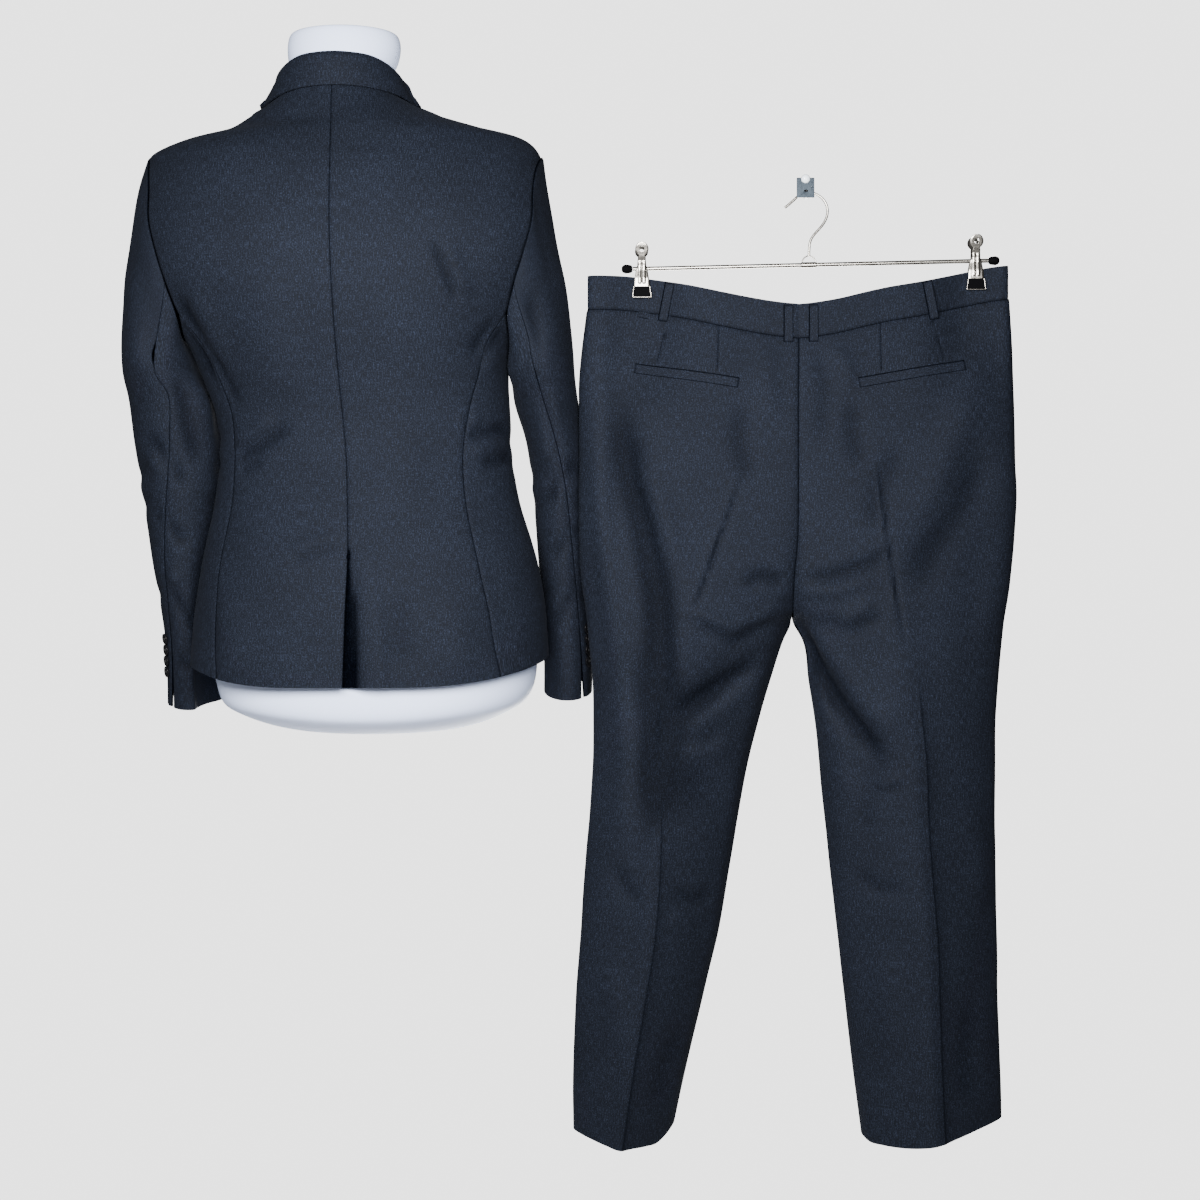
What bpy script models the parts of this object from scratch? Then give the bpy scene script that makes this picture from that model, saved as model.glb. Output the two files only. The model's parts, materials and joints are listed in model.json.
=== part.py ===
"""Two-piece suit seen from its back: the jacket on a limbless dress form, and the trousers
hung by their waistband from a clip hanger on a wall hook.

The origin is the middle of the wall hook's back plate. The wall is the plane y = 0, all of the
part lies on its -y side, x runs along the wall and z is up. The jacket's back faces -y.
"""
import math

import bmesh
import bpy
import numpy as np
from mathutils import Vector
from mathutils.bvhtree import BVHTree

MM = 0.001

# Driving dimensions, in metres.
CLOTH = 0.0015          # thickness of one wall of suiting
SEAM = 0.0003           # gap between two pieces at a seam
COLLAR_CLOTH = 0.0020   # the collar is two layers
JACKET_Y = -0.150       # widest line of the jacket, seen from the side
TROUSER_Y = -0.155      # middle plane of the trousers and the hanger
BAND = 0.037            # depth of the waistband
PINCH = 0.0022          # half the thickness of the waistband between a clip's pads
LEFT_CLIP_X = -0.1965
RIGHT_CLIP_X = 0.1705
ROD_RADIUS = 0.0023
WIRE_RADIUS = 0.0014
BUTTON = 0.0060         # radius of a cuff button


class Table:
    """Rows of named columns, read between the rows as a smooth curve.

    The first column says where a row lies. Columns are in millimetres, those whose
    name ends with _deg in degrees, and those whose name ends with _ratio are bare.
    """

    def __init__(self, names, rows):
        names = names.split()
        columns = np.array(sorted(rows), dtype=float).T
        self.where = columns[0] * self.unit(names[0])
        self.values = {n: c * self.unit(n) for n, c in zip(names[1:], columns[1:])}
        self.slopes = {n: self.slope(c) for n, c in self.values.items()}

    def slope(self, column):
        """The slope at each row, kept low enough not to swing past the rows beside it."""
        steps = np.abs(np.diff(column) / np.diff(self.where))
        before, after = np.append(steps[:1], steps), np.append(steps, steps[-1:])
        limit = 3 * np.minimum(before, after)
        return np.clip(np.gradient(column, self.where), -limit, limit)

    @staticmethod
    def unit(name):
        if name.endswith("_deg"):
            return math.radians(1)
        return 1.0 if name.endswith("_ratio") else MM

    def at(self, name, where):
        """The column's value at a place, by a cubic between the two rows around it."""
        knots = self.where
        where = np.clip(np.asarray(where, dtype=float), knots[0], knots[-1])
        low = np.clip(np.searchsorted(knots, where, side="right") - 1, 0, len(knots) - 2)
        gap = knots[low + 1] - knots[low]
        t = (where - knots[low]) / gap
        value, slope = self.values[name], self.slopes[name]
        start = (1 + 2 * t) * (1 - t) ** 2 * value[low] + t * (1 - t) ** 2 * gap * slope[low]
        end = t * t * (3 - 2 * t) * value[low + 1] - t * t * (1 - t) * gap * slope[low + 1]
        return start + end


# The jacket's body, a row for each height: its left and right edge, its back and front,
# and how square the section is. Between the shoulder and the underarm the section runs on
# past the armhole, where the panels are cut.
TORSO = Table("z left right back front square_ratio", [
    (80, -585, -472, -206, -100, 2.00),
    (72, -590, -467, -208, -98, 2.00),
    (61, -598, -460, -212, -96, 1.90),
    (50, -616, -438, -218, -92, 1.78),
    (40, -634, -401, -224, -88, 1.70),
    (30, -651, -368, -230, -84, 1.66),
    (15, -705, -318, -239, -79, 1.80),
    (-2, -737, -306, -247, -73, 2.02),
    (-20, -744, -300, -255, -66, 2.12),
    (-40, -747, -297, -262, -60, 2.20),
    (-86, -750, -293, -272, -46, 2.35),
    (-130, -742, -300, -274, -36, 2.35),
    (-162, -728, -314, -270, -32, 2.35),
    (-188, -709, -330, -265, -31, 2.30),
    (-212, -692, -341, -259, -32, 2.30),
    (-236, -683, -343, -252, -36, 2.25),
    (-260, -671, -342, -245, -40, 2.20),
    (-285, -664, -341, -240, -44, 2.20),
    (-311, -661, -339, -238, -46, 2.20),
    (-357, -662, -336, -244, -45, 2.20),
    (-399, -669, -325, -256, -40, 2.25),
    (-444, -678, -311, -267, -36, 2.30),
    (-490, -685, -303, -275, -34, 2.30),
    (-552, -691, -298, -279, -33, 2.30),
    (-590, -693, -297, -280, -33, 2.30),
])

# The jacket's upright seams: the middle one of the back by its x, and the others as angles
# round the body. 0 is the middle of the back and 180 the middle of the front.
SEAMS = Table("z centre left_deg right_deg side_deg", [
    (80, -532, 63, 63, 104),
    (61, -531, 63, 63, 104),
    (0, -527.5, 63, 63, 104),
    (-87, -525.5, 63, 63, 104),
    (-180, -522.5, 63, 63, 104),
    (-212, -521, 60, 59, 104),
    (-245, -519, 58, 54, 104),
    (-285, -516, 57, 46, 103),
    (-330, -512, 57, 41.5, 103),
    (-380, -509, 55, 40, 103),
    (-427, -507, 54.5, 39, 103),
    (-441, -507, 54.5, 39, 103),
    (-498, -508.5, 52.5, 41.5, 104),
    (-590, -511, 49, 46, 104),
])

# The armhole's two edges, as angles round the body.
ARMHOLE = Table("z back_deg front_deg", [
    (-2, 90, 90),
    (-20, 71, 111),
    (-45, 65.5, 120),
    (-80, 62, 126),
    (-115, 58.5, 129),
    (-150, 58, 127),
    (-180, 63, 120),
    (-197, 74, 104),
    (-203, 90, 92),
])

# The hem's height round the body. Negative angles are on the left.
HEM = Table("angle_deg z", [
    (-185, -574), (-150, -568), (-120, -560), (-90, -556), (-62, -564), (-45, -573),
    (-20, -579), (0, -579), (20, -578), (45, -569), (62, -560), (90, -548),
    (120, -556), (150, -566), (185, -574),
])

# The front edge, as a distance from the middle of the front: the straight roll of the
# lapel down to the button, then the overlap, then the rounded corner at the hem.
ROLL_TOP = (0.061, 0.072)
ROLL_END = (-0.300, -0.018)
FRONT_EDGE = Table("z offset", [
    (-300, -18), (-330, -20), (-460, -20), (-500, -17), (-538, -6), (-560, 12), (-580, 34),
])
LAPEL = Table("z width", [
    (61, 34), (30, 52), (12, 62), (-20, 74), (-80, 70), (-150, 56), (-212, 40), (-245, 27),
    (-285, 9), (-305, 28), (-330, 42), (-590, 42),
])
LAPEL_TOP = 0.015
LAP_FADE = 0.076        # the lapped edge's lift fades out this far from the middle
LAPEL_END = -0.285
# How far the right front is lifted where it laps over the left one, and over its lapel.
LAP = Table("z lift", [
    (-590, 2.2), (-330, 2.2), (-300, 3.6), (-285, 4.7), (-212, 4.7), (-180, 2.4), (-150, 0.4),
    (-115, 0), (80, 0),
])

# The back vent: how far the right panel runs on under the left one, how deep it lies
# there, and how wide it takes to sink to that depth.
VENT = Table("z under depth ramp", [
    (80, 0, 0, 18), (-400, 0, 0, 14), (-427, 0, 0, 9), (-441, 0, 3.2, 10), (-462, 15, 4.4, 14),
    (-498, 28, 5.6, 18), (-538, 31, 6.4, 22), (-590, 32, 6.8, 23),
])

HEM_ROW = None
JACKET_ROWS = (-538, -498, -462, -441, -427, -380, -330, -285, -245, -212)
BACK_ARM_ROWS = (-180, -150, -115, -80, -45, -20, -2)
FRONT_ARM_ROWS = (-197,) + BACK_ARM_ROWS
SHOULDER_ROWS = (15, 30, 45)
UNDERARM_ANGLES = (73, 83, 94)
NECK_Z = Table("angle_deg z", [(0, 72), (30, 71), (60, 67), (90, 61), (181, 61)])

# The sleeves below the underarm, a row for each height: the outer edge and the one towards
# the body, the middle and half the depth seen from the side, and how far the seams have
# turned round the sleeve. Where the body is in the way, the sleeve lies against it.
LEFT_SLEEVE = Table("z outer inner middle half turn_deg", [
    (-236, -768, -684, -144, 62, 0),
    (-265, -764, -664, -134, 61, 0),
    (-309, -760, -658, -127, 59, 6),
    (-353, -754, -658, -121, 57, 14),
    (-398, -749, -664, -115, 55, 22),
    (-442, -743, -670, -109, 53, 29),
    (-487, -736, -674, -102, 51, 35),
    (-532, -731, -673, -94, 49, 39),
    (-570, -731, -670, -87, 48, 41),
    (-604, -732, -668, -81, 47, 42),
])
RIGHT_SLEEVE = Table("z outer inner middle half turn_deg", [
    (-236, -271, -350, -143, 61, 0),
    (-265, -267, -338, -130, 59, 0),
    (-309, -260, -325, -116, 57, 6),
    (-353, -254.6, -319, -108, 55, 14),
    (-398, -253.8, -315, -103, 54, 22),
    (-442, -254, -312, -98, 52, 29),
    (-487, -252, -310, -93, 50, 35),
    (-532, -251, -307, -88, 49, 39),
    (-570, -251, -306, -84, 48, 41),
    (-604, -252, -306, -80, 47, 42),
])
SLEEVE_ROWS = (-265, -309, -353, -398, -442, -487, -532, -568)
LEFT_CUFF = -599.5
RIGHT_CUFF = -589
SLEEVE_GAP = 0.0034     # between the sleeve and the body it lies against
CAP_STEPS = (0.0, 0.18, 0.4, 0.65, 1.0)
LEFT_HEAD = 0.058       # how strongly the sleeve head springs out from the shoulder
RIGHT_HEAD = 0.006
HEAD_DROP = 0.120       # how strongly it falls there, and where the arm begins
ARM_DROP = 0.200
CUFF_TILT = 0.22        # the cuff is cut square to the forearm, lower at the back
# Where each point of the armhole comes to lie round the sleeve: 0 is outermost, 90 the back.
RING_ANGLES = (0, 22, 41, 58, 76, 95, 118, 145, 170, 195, 219, 240, 262, 282, 300, 319, 338)
HIND_SEAM = 5
FRONT_SEAM = 12

# The trouser legs, a row for each height: the outer edge, the pressed crease and the inner
# edge, which is the middle seam above the fork. Then half the depth towards the room and
# towards the wall, how much of it is left at the inner edge, and how sharp the crease is.
LEG_COLUMNS = "z outer crease inner back front middle_ratio crease_ratio"
LEFT_LEG = Table(LEG_COLUMNS, [
    (-120, -255, -146, -26, 15, 13, 0.96, 0.0),
    (-160, -257, -147, -26, 17, 15, 0.96, 0.0),
    (-201, -262, -149, -26, 25, 22, 0.96, 0.0),
    (-245, -266, -151, -27, 33, 29, 0.96, 0.0),
    (-333, -266.6, -153, -28, 43, 38, 0.93, 0.0),
    (-421, -266, -155, -29, 52, 44, 0.84, 0.05),
    (-459, -264, -156, -32, 55, 46, 0.72, 0.08),
    (-487, -261, -157, -33, 57, 47, 0.50, 0.12),
    (-503, -259, -159, -32, 58, 48, 0.28, 0.15),
    (-512, -258, -160, -32, 58, 48, 0.0, 0.17),
    (-531, -256, -163, -40, 59, 49, 0.0, 0.20),
    (-575, -252, -170, -54, 60, 50, 0.0, 0.28),
    (-619, -251, -176, -67, 60, 51, 0.0, 0.34),
    (-663, -251, -179, -78, 60, 52, 0.0, 0.38),
    (-751, -258, -181, -94, 59, 53, 0.0, 0.45),
    (-839, -264, -186, -109, 59, 54, 0.0, 0.50),
    (-927, -270, -199, -129, 58, 54, 0.0, 0.52),
    (-1015, -273, -213, -150, 58, 54, 0.0, 0.54),
    (-1090, -273, -223, -166, 57, 54, 0.0, 0.55),
])
RIGHT_LEG = Table(LEG_COLUMNS, [
    (-110, 203, 68, -26, 15, 13, 0.96, 0.0),
    (-157, 208, 67, -26, 17, 15, 0.96, 0.0),
    (-201, 211, 66, -26, 25, 22, 0.96, 0.0),
    (-245, 213, 65, -27, 33, 29, 0.96, 0.0),
    (-333, 215, 63, -28, 43, 38, 0.93, 0.0),
    (-421, 212, 62, -29, 52, 44, 0.84, 0.05),
    (-459, 208, 62, -32, 55, 46, 0.72, 0.08),
    (-487, 205, 64, -32, 57, 47, 0.50, 0.12),
    (-503, 203, 66, -31.5, 58, 48, 0.28, 0.15),
    (-512, 202, 68, -31, 58, 48, 0.0, 0.17),
    (-531, 200, 73, -21, 59, 49, 0.0, 0.20),
    (-575, 196.5, 81, -14, 60, 50, 0.0, 0.28),
    (-619, 193.5, 87, -7, 60, 51, 0.0, 0.34),
    (-663, 193, 92, -2.5, 60, 52, 0.0, 0.38),
    (-751, 193, 96, 6, 59, 53, 0.0, 0.45),
    (-839, 194.5, 105, 16, 59, 54, 0.0, 0.50),
    (-927, 196, 109, 26, 58, 54, 0.0, 0.52),
    (-1015, 199, 112, 36, 58, 54, 0.0, 0.54),
    (-1090, 201, 117, 46, 57, 54, 0.0, 0.55),
])
FORK_Z = -0.512
LEG_ROWS = (-240, -280, -325, -375, -421, -459, -487, -503, -512, -531, -575, -619, -663,
            -720, -785, -850, -915, -980, -1030)
WAIST = Table("x top", [
    (-262, -131), (-204, -132.5), (-156, -141), (-108, -151.5), (-52, -162), (-26, -164.5),
    (10, -160), (63, -147.7), (111, -139), (153, -129), (178, -123.6), (214, -119),
])
FRONT_DIP = 0.012       # the front of the waistband sits lower than the back
HEM_LEFT = Table("across_ratio z", [
    (0, -1067), (0.3, -1074), (0.5, -1078.5), (0.75, -1078.5), (0.88, -1076), (1, -1059),
])
HEM_RIGHT = Table("across_ratio z", [
    (0, -1054), (0.2, -1062), (0.5, -1075), (0.75, -1080), (0.93, -1080), (1, -1073),
])
LEFT_COLUMNS = ((0, 0.045, 0.18, 0.41, 0.72, 1), (0.25, 0.5, 0.72, 0.9, 1))
RIGHT_COLUMNS = ((0, 0.04, 0.17, 0.37, 0.68, 1), (0.25, 0.5, 0.72, 0.9, 1))
PINCH_FLAT = 0.0175     # the clip presses the cloth flat this far to each side
PINCH_FADE = 0.045      # and the cloth springs back over this width
PINCH_DEPTH = 0.130     # the groove below a clip runs out this far down

# The largest folds of the trousers' back: from one end to the other, how far they rise
# (or sink, below 0) and how wide they are.
TROUSER_FOLDS = [dict(zip("x1 z1 x2 z2 rise width".split(), row)) for row in (
    (-140, -505, -62, -530, 7, 17),
    (-52, -538, -160, -622, -9, 16),
    (-6, -535, 62, -690, -10, 18),
    (26, -560, 84, -676, 7, 18),
    (-212, -190, -216, -470, -7, 20),
)]

FORM = Table("z left right back front square_ratio", [
    (135, -586, -462, -200, -104, 2.0),
    (110, -587, -461, -201, -103, 2.0),
    (99, -585, -467, -201, -103, 2.0),
    (86, -581.5, -474, -201, -103, 2.0),
    (66, -581, -476, -201, -103, 2.0),
    (-6, -724, -319, -244, -78, 2.0),
    (-40, -712, -332, -255, -66, 2.2),
    (-86, -707, -337, -264, -54, 2.35),
    (-130, -701, -343, -266, -44, 2.35),
    (-162, -692, -351, -262, -40, 2.35),
    (-188, -685, -355, -257, -40, 2.3),
    (-212, -678, -355, -251, -42, 2.3),
    (-236, -670, -354, -244, -44, 2.3),
    (-260, -661, -351, -237, -48, 2.2),
    (-285, -655, -349, -232, -52, 2.2),
    (-311, -652, -347, -230, -54, 2.2),
    (-357, -653, -344, -236, -52, 2.2),
    (-399, -661, -333, -247, -48, 2.25),
    (-444, -669, -320, -257, -44, 2.3),
    (-490, -673, -312, -263, -42, 2.3),
    (-545, -671, -310, -265, -42, 2.3),
    (-575, -665, -310, -265, -42, 2.3),
    (-598, -659, -322, -262, -46, 2.3),
    (-607, -648, -337, -254, -56, 2.2),
    (-622, -613, -367, -234, -77, 2.1),
    (-632, -568, -411, -205, -106, 2.0),
])
FORM_CLEAR = 0.0032     # the shoulders of the form lie this far under the cloth's outer face
FORM_FRONT_CLEAR = 0.010    # and the front of the shoulders lies this much lower again
FORM_BOTTOM = -0.6355
RIM_SAG = 0.013         # the form's lower rim hangs lower in the middle of the back and front
NECK_JOIN = 0.078
CAP_HEIGHT = 0.1355
PEG = (-0.490, -0.592)  # where the form's wall peg sits, x and z


MATERIALS = {
    # name: (red, green, blue), roughness, metallic
    "suiting": ((0.027, 0.034, 0.050), 0.85, 0.0),
    "suiting_shade": ((0.020, 0.026, 0.040), 0.85, 0.0),
    "horn_button": ((0.018, 0.018, 0.022), 0.45, 0.0),
    "form_shell": ((0.80, 0.82, 0.90), 0.5, 0.0),
    "chrome": ((0.75, 0.74, 0.72), 0.15, 1.0),
    "zinc": ((0.42, 0.45, 0.48), 0.4, 1.0),
    "black_rubber": ((0.012, 0.012, 0.014), 0.7, 0.0),
}


def clear_scene():
    for item in list(bpy.data.objects):
        bpy.data.objects.remove(item, do_unlink=True)


def material(name):
    found = bpy.data.materials.get(name)
    if found:
        return found
    colour, roughness, metallic = MATERIALS[name]
    made = bpy.data.materials.new(name)
    made.use_nodes = True
    shader = made.node_tree.nodes["Principled BSDF"]
    shader.inputs["Base Color"].default_value = (*colour, 1)
    shader.inputs["Roughness"].default_value = roughness
    shader.inputs["Metallic"].default_value = metallic
    return made


def add_object(name, mesh, finish, smooth=True):
    mesh.materials.append(material(finish))
    if smooth:
        mesh.shade_smooth()
        mesh.set_sharp_from_angle(angle=math.radians(40))
    made = bpy.data.objects.new(name, mesh)
    bpy.context.scene.collection.objects.link(made)
    return made


def body(name, verts, faces, finish, smooth=True):
    """An object from points and faces that close one solid, its faces turned outwards."""
    work = bmesh.new()
    made = [work.verts.new(Vector(point)) for point in verts]
    for face in faces:
        work.faces.new([made[index] for index in face])
    bmesh.ops.recalc_face_normals(work, faces=work.faces)
    if work.calc_volume(signed=True) < 0:
        bmesh.ops.reverse_faces(work, faces=work.faces)
    mesh = bpy.data.meshes.new(name)
    work.to_mesh(mesh)
    work.free()
    return add_object(name, mesh, finish, smooth)


def wall(name, outer, inner, finish):
    """A closed wall between two grids of points that match point for point."""
    rows, columns = outer.shape[:2]
    count = rows * columns
    verts = np.concatenate([outer.reshape(count, 3), inner.reshape(count, 3)])
    faces = []
    for row in range(rows - 1):
        for column in range(columns - 1):
            a = row * columns + column
            b, c, d = a + 1, a + columns + 1, a + columns
            faces += [(a, b, c), (a, c, d)]
            faces += [(c + count, b + count, a + count), (d + count, c + count, a + count)]
    rim = [column for column in range(columns)]
    rim += [row * columns + columns - 1 for row in range(1, rows)]
    rim += [(rows - 1) * columns + column for column in range(columns - 2, -1, -1)]
    rim += [row * columns for row in range(rows - 2, 0, -1)]
    for here, there in zip(rim, rim[1:] + rim[:1]):
        faces += [(here, here + count, there + count), (here, there + count, there)]
    return body(name, verts, faces, finish)


def pull(points, line, neighbour, amount):
    """Move one border line of a grid towards its neighbour line."""
    step = points[neighbour] - points[line]
    length = np.linalg.norm(step, axis=-1, keepdims=True)
    points[line] = points[line] + step / length * amount


def trimmed(points, bottom=0.0, top=0.0, first=0.0, last=0.0):
    """A copy of a grid with its borders drawn in: rows at the bottom and top, columns at
    the first and last side."""
    points = points.copy()
    if bottom:
        pull(points, 0, 1, bottom)
    if top:
        pull(points, -1, -2, top)
    turned = points.transpose(1, 0, 2)
    if first:
        pull(turned, 0, 1, first)
    if last:
        pull(turned, -1, -2, last)
    return points


def outward(surface, first, second, step=0.002):
    """Unit normals of a surface given by two parameters."""
    along = surface(first + step, second) - surface(first - step, second)
    across = surface(first, second + step) - surface(first, second - step)
    normal = np.cross(along, across)
    return normal / np.linalg.norm(normal, axis=-1, keepdims=True)


def blend(t):
    t = np.clip(t, 0, 1)
    return t * t * (3 - 2 * t)


# ---------------------------------------------------------------- jacket body

def section(table, angle, z):
    """A point on a body that a table describes, at an angle round it and a height."""
    left, right = table.at("left", z), table.at("right", z)
    back, front = table.at("back", z), table.at("front", z)
    power = 2 / table.at("square_ratio", z)
    sine, cosine = np.sin(angle), np.cos(angle)
    x = (left + right) / 2 + (right - left) / 2 * np.sign(sine) * np.abs(sine) ** power
    reach = np.where(cosine > 0, back - JACKET_Y, front - JACKET_Y)
    y = JACKET_Y + reach * np.abs(cosine) ** power
    return np.stack(np.broadcast_arrays(x, y, z), axis=-1)


def torso(angle, z):
    return section(TORSO, angle, z)


def lifted(angle, z, lift):
    """Torso points moved out along the surface's normals."""
    return torso(angle, z) + outward(torso, angle, z) * np.asarray(lift)[..., None]


def angle_at(offset, z):
    """The angle whose point lies this far sideways from the middle of the body."""
    half = (TORSO.at("right", z) - TORSO.at("left", z)) / 2
    share = np.clip(np.abs(offset) / half, 0, 1)
    return np.sign(offset) * np.arcsin(share ** (TORSO.at("square_ratio", z) / 2))


def row_heights(rows, angles):
    """Heights for a grid of angles, one row of the grid for each named row."""
    heights = np.empty_like(angles)
    for index, row in enumerate(rows):
        if row is HEM_ROW:
            heights[index] = HEM.at("z", angles[index])
        else:
            heights[index] = row * MM
    return heights


def outer_angle(z, side, which):
    """The outer border of a back or front panel: princess or side seam, armhole, shoulder."""
    if z > -0.003:
        return math.radians(90)
    if which == "back":
        if z >= -0.1801:
            return float(ARMHOLE.at("back_deg", z))
        return float(SEAMS.at("left_deg" if side < 0 else "right_deg", z))
    if z >= -0.1971:
        return float(ARMHOLE.at("front_deg", z))
    return float(SEAMS.at("side_deg", z))


def row_height(row):
    return -0.590 if row is HEM_ROW else row * MM


def back_panel(side):
    """Half of the jacket's back, from the middle seam to the princess seam and armhole."""
    rows = (HEM_ROW,) + JACKET_ROWS + BACK_ARM_ROWS + SHOULDER_ROWS + ("neck",)
    angles, sink = [], []
    for row in rows:
        z = 0.061 if row == "neck" else row_height(row)
        centre_x = float(SEAMS.at("centre", z)) - float(torso(0.0, z)[0])
        outer = side * outer_angle(z, side, "back")
        if side > 0:
            under = float(VENT.at("under", z))
            ramp = float(VENT.at("ramp", z))
            depth = float(VENT.at("depth", z))
            offsets = [centre_x - under, centre_x + (0.001 if depth > 0 else ramp / 2),
                       centre_x + ramp]
            sink.append([depth * 1.2 if under > 0 else depth, depth * 0.92, 0] + [0] * 6)
        else:
            offsets = [centre_x, centre_x - 0.012, centre_x - 0.030]
            sink.append([0] * 9)
        start = [float(angle_at(offset, z)) for offset in offsets]
        rest = [start[2] + (outer - start[2]) * step / 6 for step in range(1, 7)]
        angles.append(start + rest)
    angles = np.array(angles)
    heights = row_heights(rows[:-1] + (61,), angles)
    heights[-1] = NECK_Z.at("z", np.abs(angles[-1]))
    sink = np.array(sink)
    outer = lifted(angles, heights, -sink)
    inner = lifted(angles, heights, -sink - CLOTH)
    seam = SEAM / 2
    cut = dict(top=seam, first=seam, last=seam)
    name = "jacket_back_left" if side < 0 else "jacket_back_right"
    return wall(name, trimmed(outer, **cut), trimmed(inner, **cut), "suiting")


def side_panel(side):
    """The panel under the arm, from the princess seam round to the front's side seam."""
    rows = (HEM_ROW,) + JACKET_ROWS
    angles = []
    for row in rows:
        z = row_height(row)
        start = outer_angle(z, side, "back")
        end = outer_angle(z, side, "front")
        angles.append([start + (end - start) * step / 4 for step in range(5)])
    angles = side * np.array(angles)
    heights = row_heights(rows, angles)
    top = [63] + list(UNDERARM_ANGLES) + [104]
    angles = np.vstack([angles, side * np.radians(top)])
    heights = np.vstack([heights, [armhole_height(angle) for angle in top]])
    outer, inner = torso(angles, heights), lifted(angles, heights, np.full(angles.shape, -CLOTH))
    seam = SEAM / 2
    cut = dict(top=seam, first=seam, last=seam)
    name = "jacket_side_left" if side < 0 else "jacket_side_right"
    return wall(name, trimmed(outer, **cut), trimmed(inner, **cut), "suiting")


def armhole_height(angle_degrees):
    """The armhole's height under the arm, where it runs from back to front."""
    heights = {63: -180, 73: -196, 83: -202, 94: -203, 104: -197}
    return heights[angle_degrees] * MM


def front_edge(z):
    """The front edge's distance from the middle of the front."""
    if z >= ROLL_END[0]:
        share = (z - ROLL_END[0]) / (ROLL_TOP[0] - ROLL_END[0])
        return ROLL_END[1] + (ROLL_TOP[1] - ROLL_END[1]) * share
    return float(FRONT_EDGE.at("offset", z))


def front_grid(side):
    """Angles, heights and lift of a front panel. Its first columns run under the lapel."""
    rows = (HEM_ROW,) + JACKET_ROWS + FRONT_ARM_ROWS + SHOULDER_ROWS + (61,)
    angles, lifts = [], []
    for row in rows:
        z = row_height(row)
        edge = front_edge(z)
        outer = outer_angle(z, side, "front")
        fold = edge + float(LAPEL.at("width", z))
        offsets = (edge, (edge + fold) / 2, fold)
        start = [math.pi - float(angle_at(offset, z)) for offset in offsets]
        start[2] = max(start[2], outer + 0.06)
        start[1] = (start[0] + start[2]) / 2
        line = start + [start[2] + (outer - start[2]) * step / 5 for step in range(1, 6)]
        angles.append(line)
        lap = float(LAP.at("lift", z)) if side > 0 else 0.0
        half = float(TORSO.at("right", z) - TORSO.at("left", z)) / 2
        reach = half * np.sin(math.pi - np.array(line))
        lifts.append(lap * blend((LAP_FADE - reach) / LAP_FADE * 2))
    angles = side * np.array(angles)
    return rows, angles, row_heights(rows, angles), np.array(lifts)


def front_panel(side):
    """Half of the jacket's front. The wearer's right laps over the left at the button."""
    _, angles, heights, lifts = front_grid(side)
    outer = lifted(angles, heights, lifts)
    inner = lifted(angles, heights, lifts - CLOTH)
    seam = SEAM / 2
    cut = dict(top=seam, last=seam)
    name = "jacket_front_left" if side < 0 else "jacket_front_right"
    return wall(name, trimmed(outer, **cut), trimmed(inner, **cut), "suiting")


def lapel(side):
    """The turned-back lapel, made from the points of the front that it lies on."""
    rows, angles, heights, lifts = front_grid(side)
    keep = [index for index, row in enumerate(rows)
            if row is not HEM_ROW and LAPEL_END <= row * MM <= LAPEL_TOP]
    angles, heights, lifts = angles[keep, :3], heights[keep, :3], lifts[keep, :3]
    base = lifts + 3 * SEAM
    outer = lifted(angles, heights, base + CLOTH)
    inner = lifted(angles, heights, base)
    cut = dict(first=0.001, last=0.004)
    name = "jacket_lapel_left" if side < 0 else "jacket_lapel_right"
    return wall(name, trimmed(outer, **cut), trimmed(inner, **cut), "suiting")


# ---------------------------------------------------------------- collar

# Across the collar, from the neck seam up the stand, over the fold and down the fall:
# how far it has risen towards the fold, and how far out from the stand.
COLLAR_PROFILE = ((0.0, 0.0), (10, -0.4), (19, -0.3), (25.4, 0.5), (27.4, 2.0), (25.8, 3.6),
                  (18, 4.6), (7, 5.2), (-7, 5.6))
# Along the collar, from the middle of the back round to the shoulder seam: how much of
# the profile's height and thickness is left, how far the fold leans towards the neck,
# and how far the fall spreads over the shoulder.
COLLAR = Table("angle_deg height_ratio fat_ratio lean spread", [
    (0, 1.0, 1.0, 0.5, 0), (36, 1.0, 1.0, 1.5, 0.5), (60, 0.94, 1.0, 2.5, 2.5),
    (90, 0.84, 1.0, 3.5, 7),
])
COLLAR_ANGLES = (0, 18, 36, 54, 72, 90)
# And on down the front, lying on the front panel outside the lapel's roll, to the notch:
# the roll's height, how much higher the seam under the fall lies, how much the stand
# still stands up, and the same shares of the profile.
COLLAR_FRONT = ((57, 2.0, 0.72, 0.83, 0.90, 4.5, 6.0), (47, 3.0, 0.36, 0.84, 0.65, 2.0, 3.5),
                (33, 5.0, 0.10, 0.86, 0.50, 0.5, 1.5), (18.5, 7.0, 0.0, 0.88, 0.42, 0.0, 0.5))
COLLAR_INSET = 0.021    # from the roll back to the seam
COLLAR_LIFT = 0.0038    # the seam's height over the front panel


def collar_frame(side, angle):
    """The collar's seam at the neck: its place, and the directions of the stand and fall."""
    base = torso(side * angle, NECK_Z.at("z", angle) + SEAM)
    base[2] += 4 * SEAM
    up = np.array([0.0, 0.0, 1.0])
    out = np.array([side * math.sin(angle), -math.cos(angle), 0.0])
    return base, up, out


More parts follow.
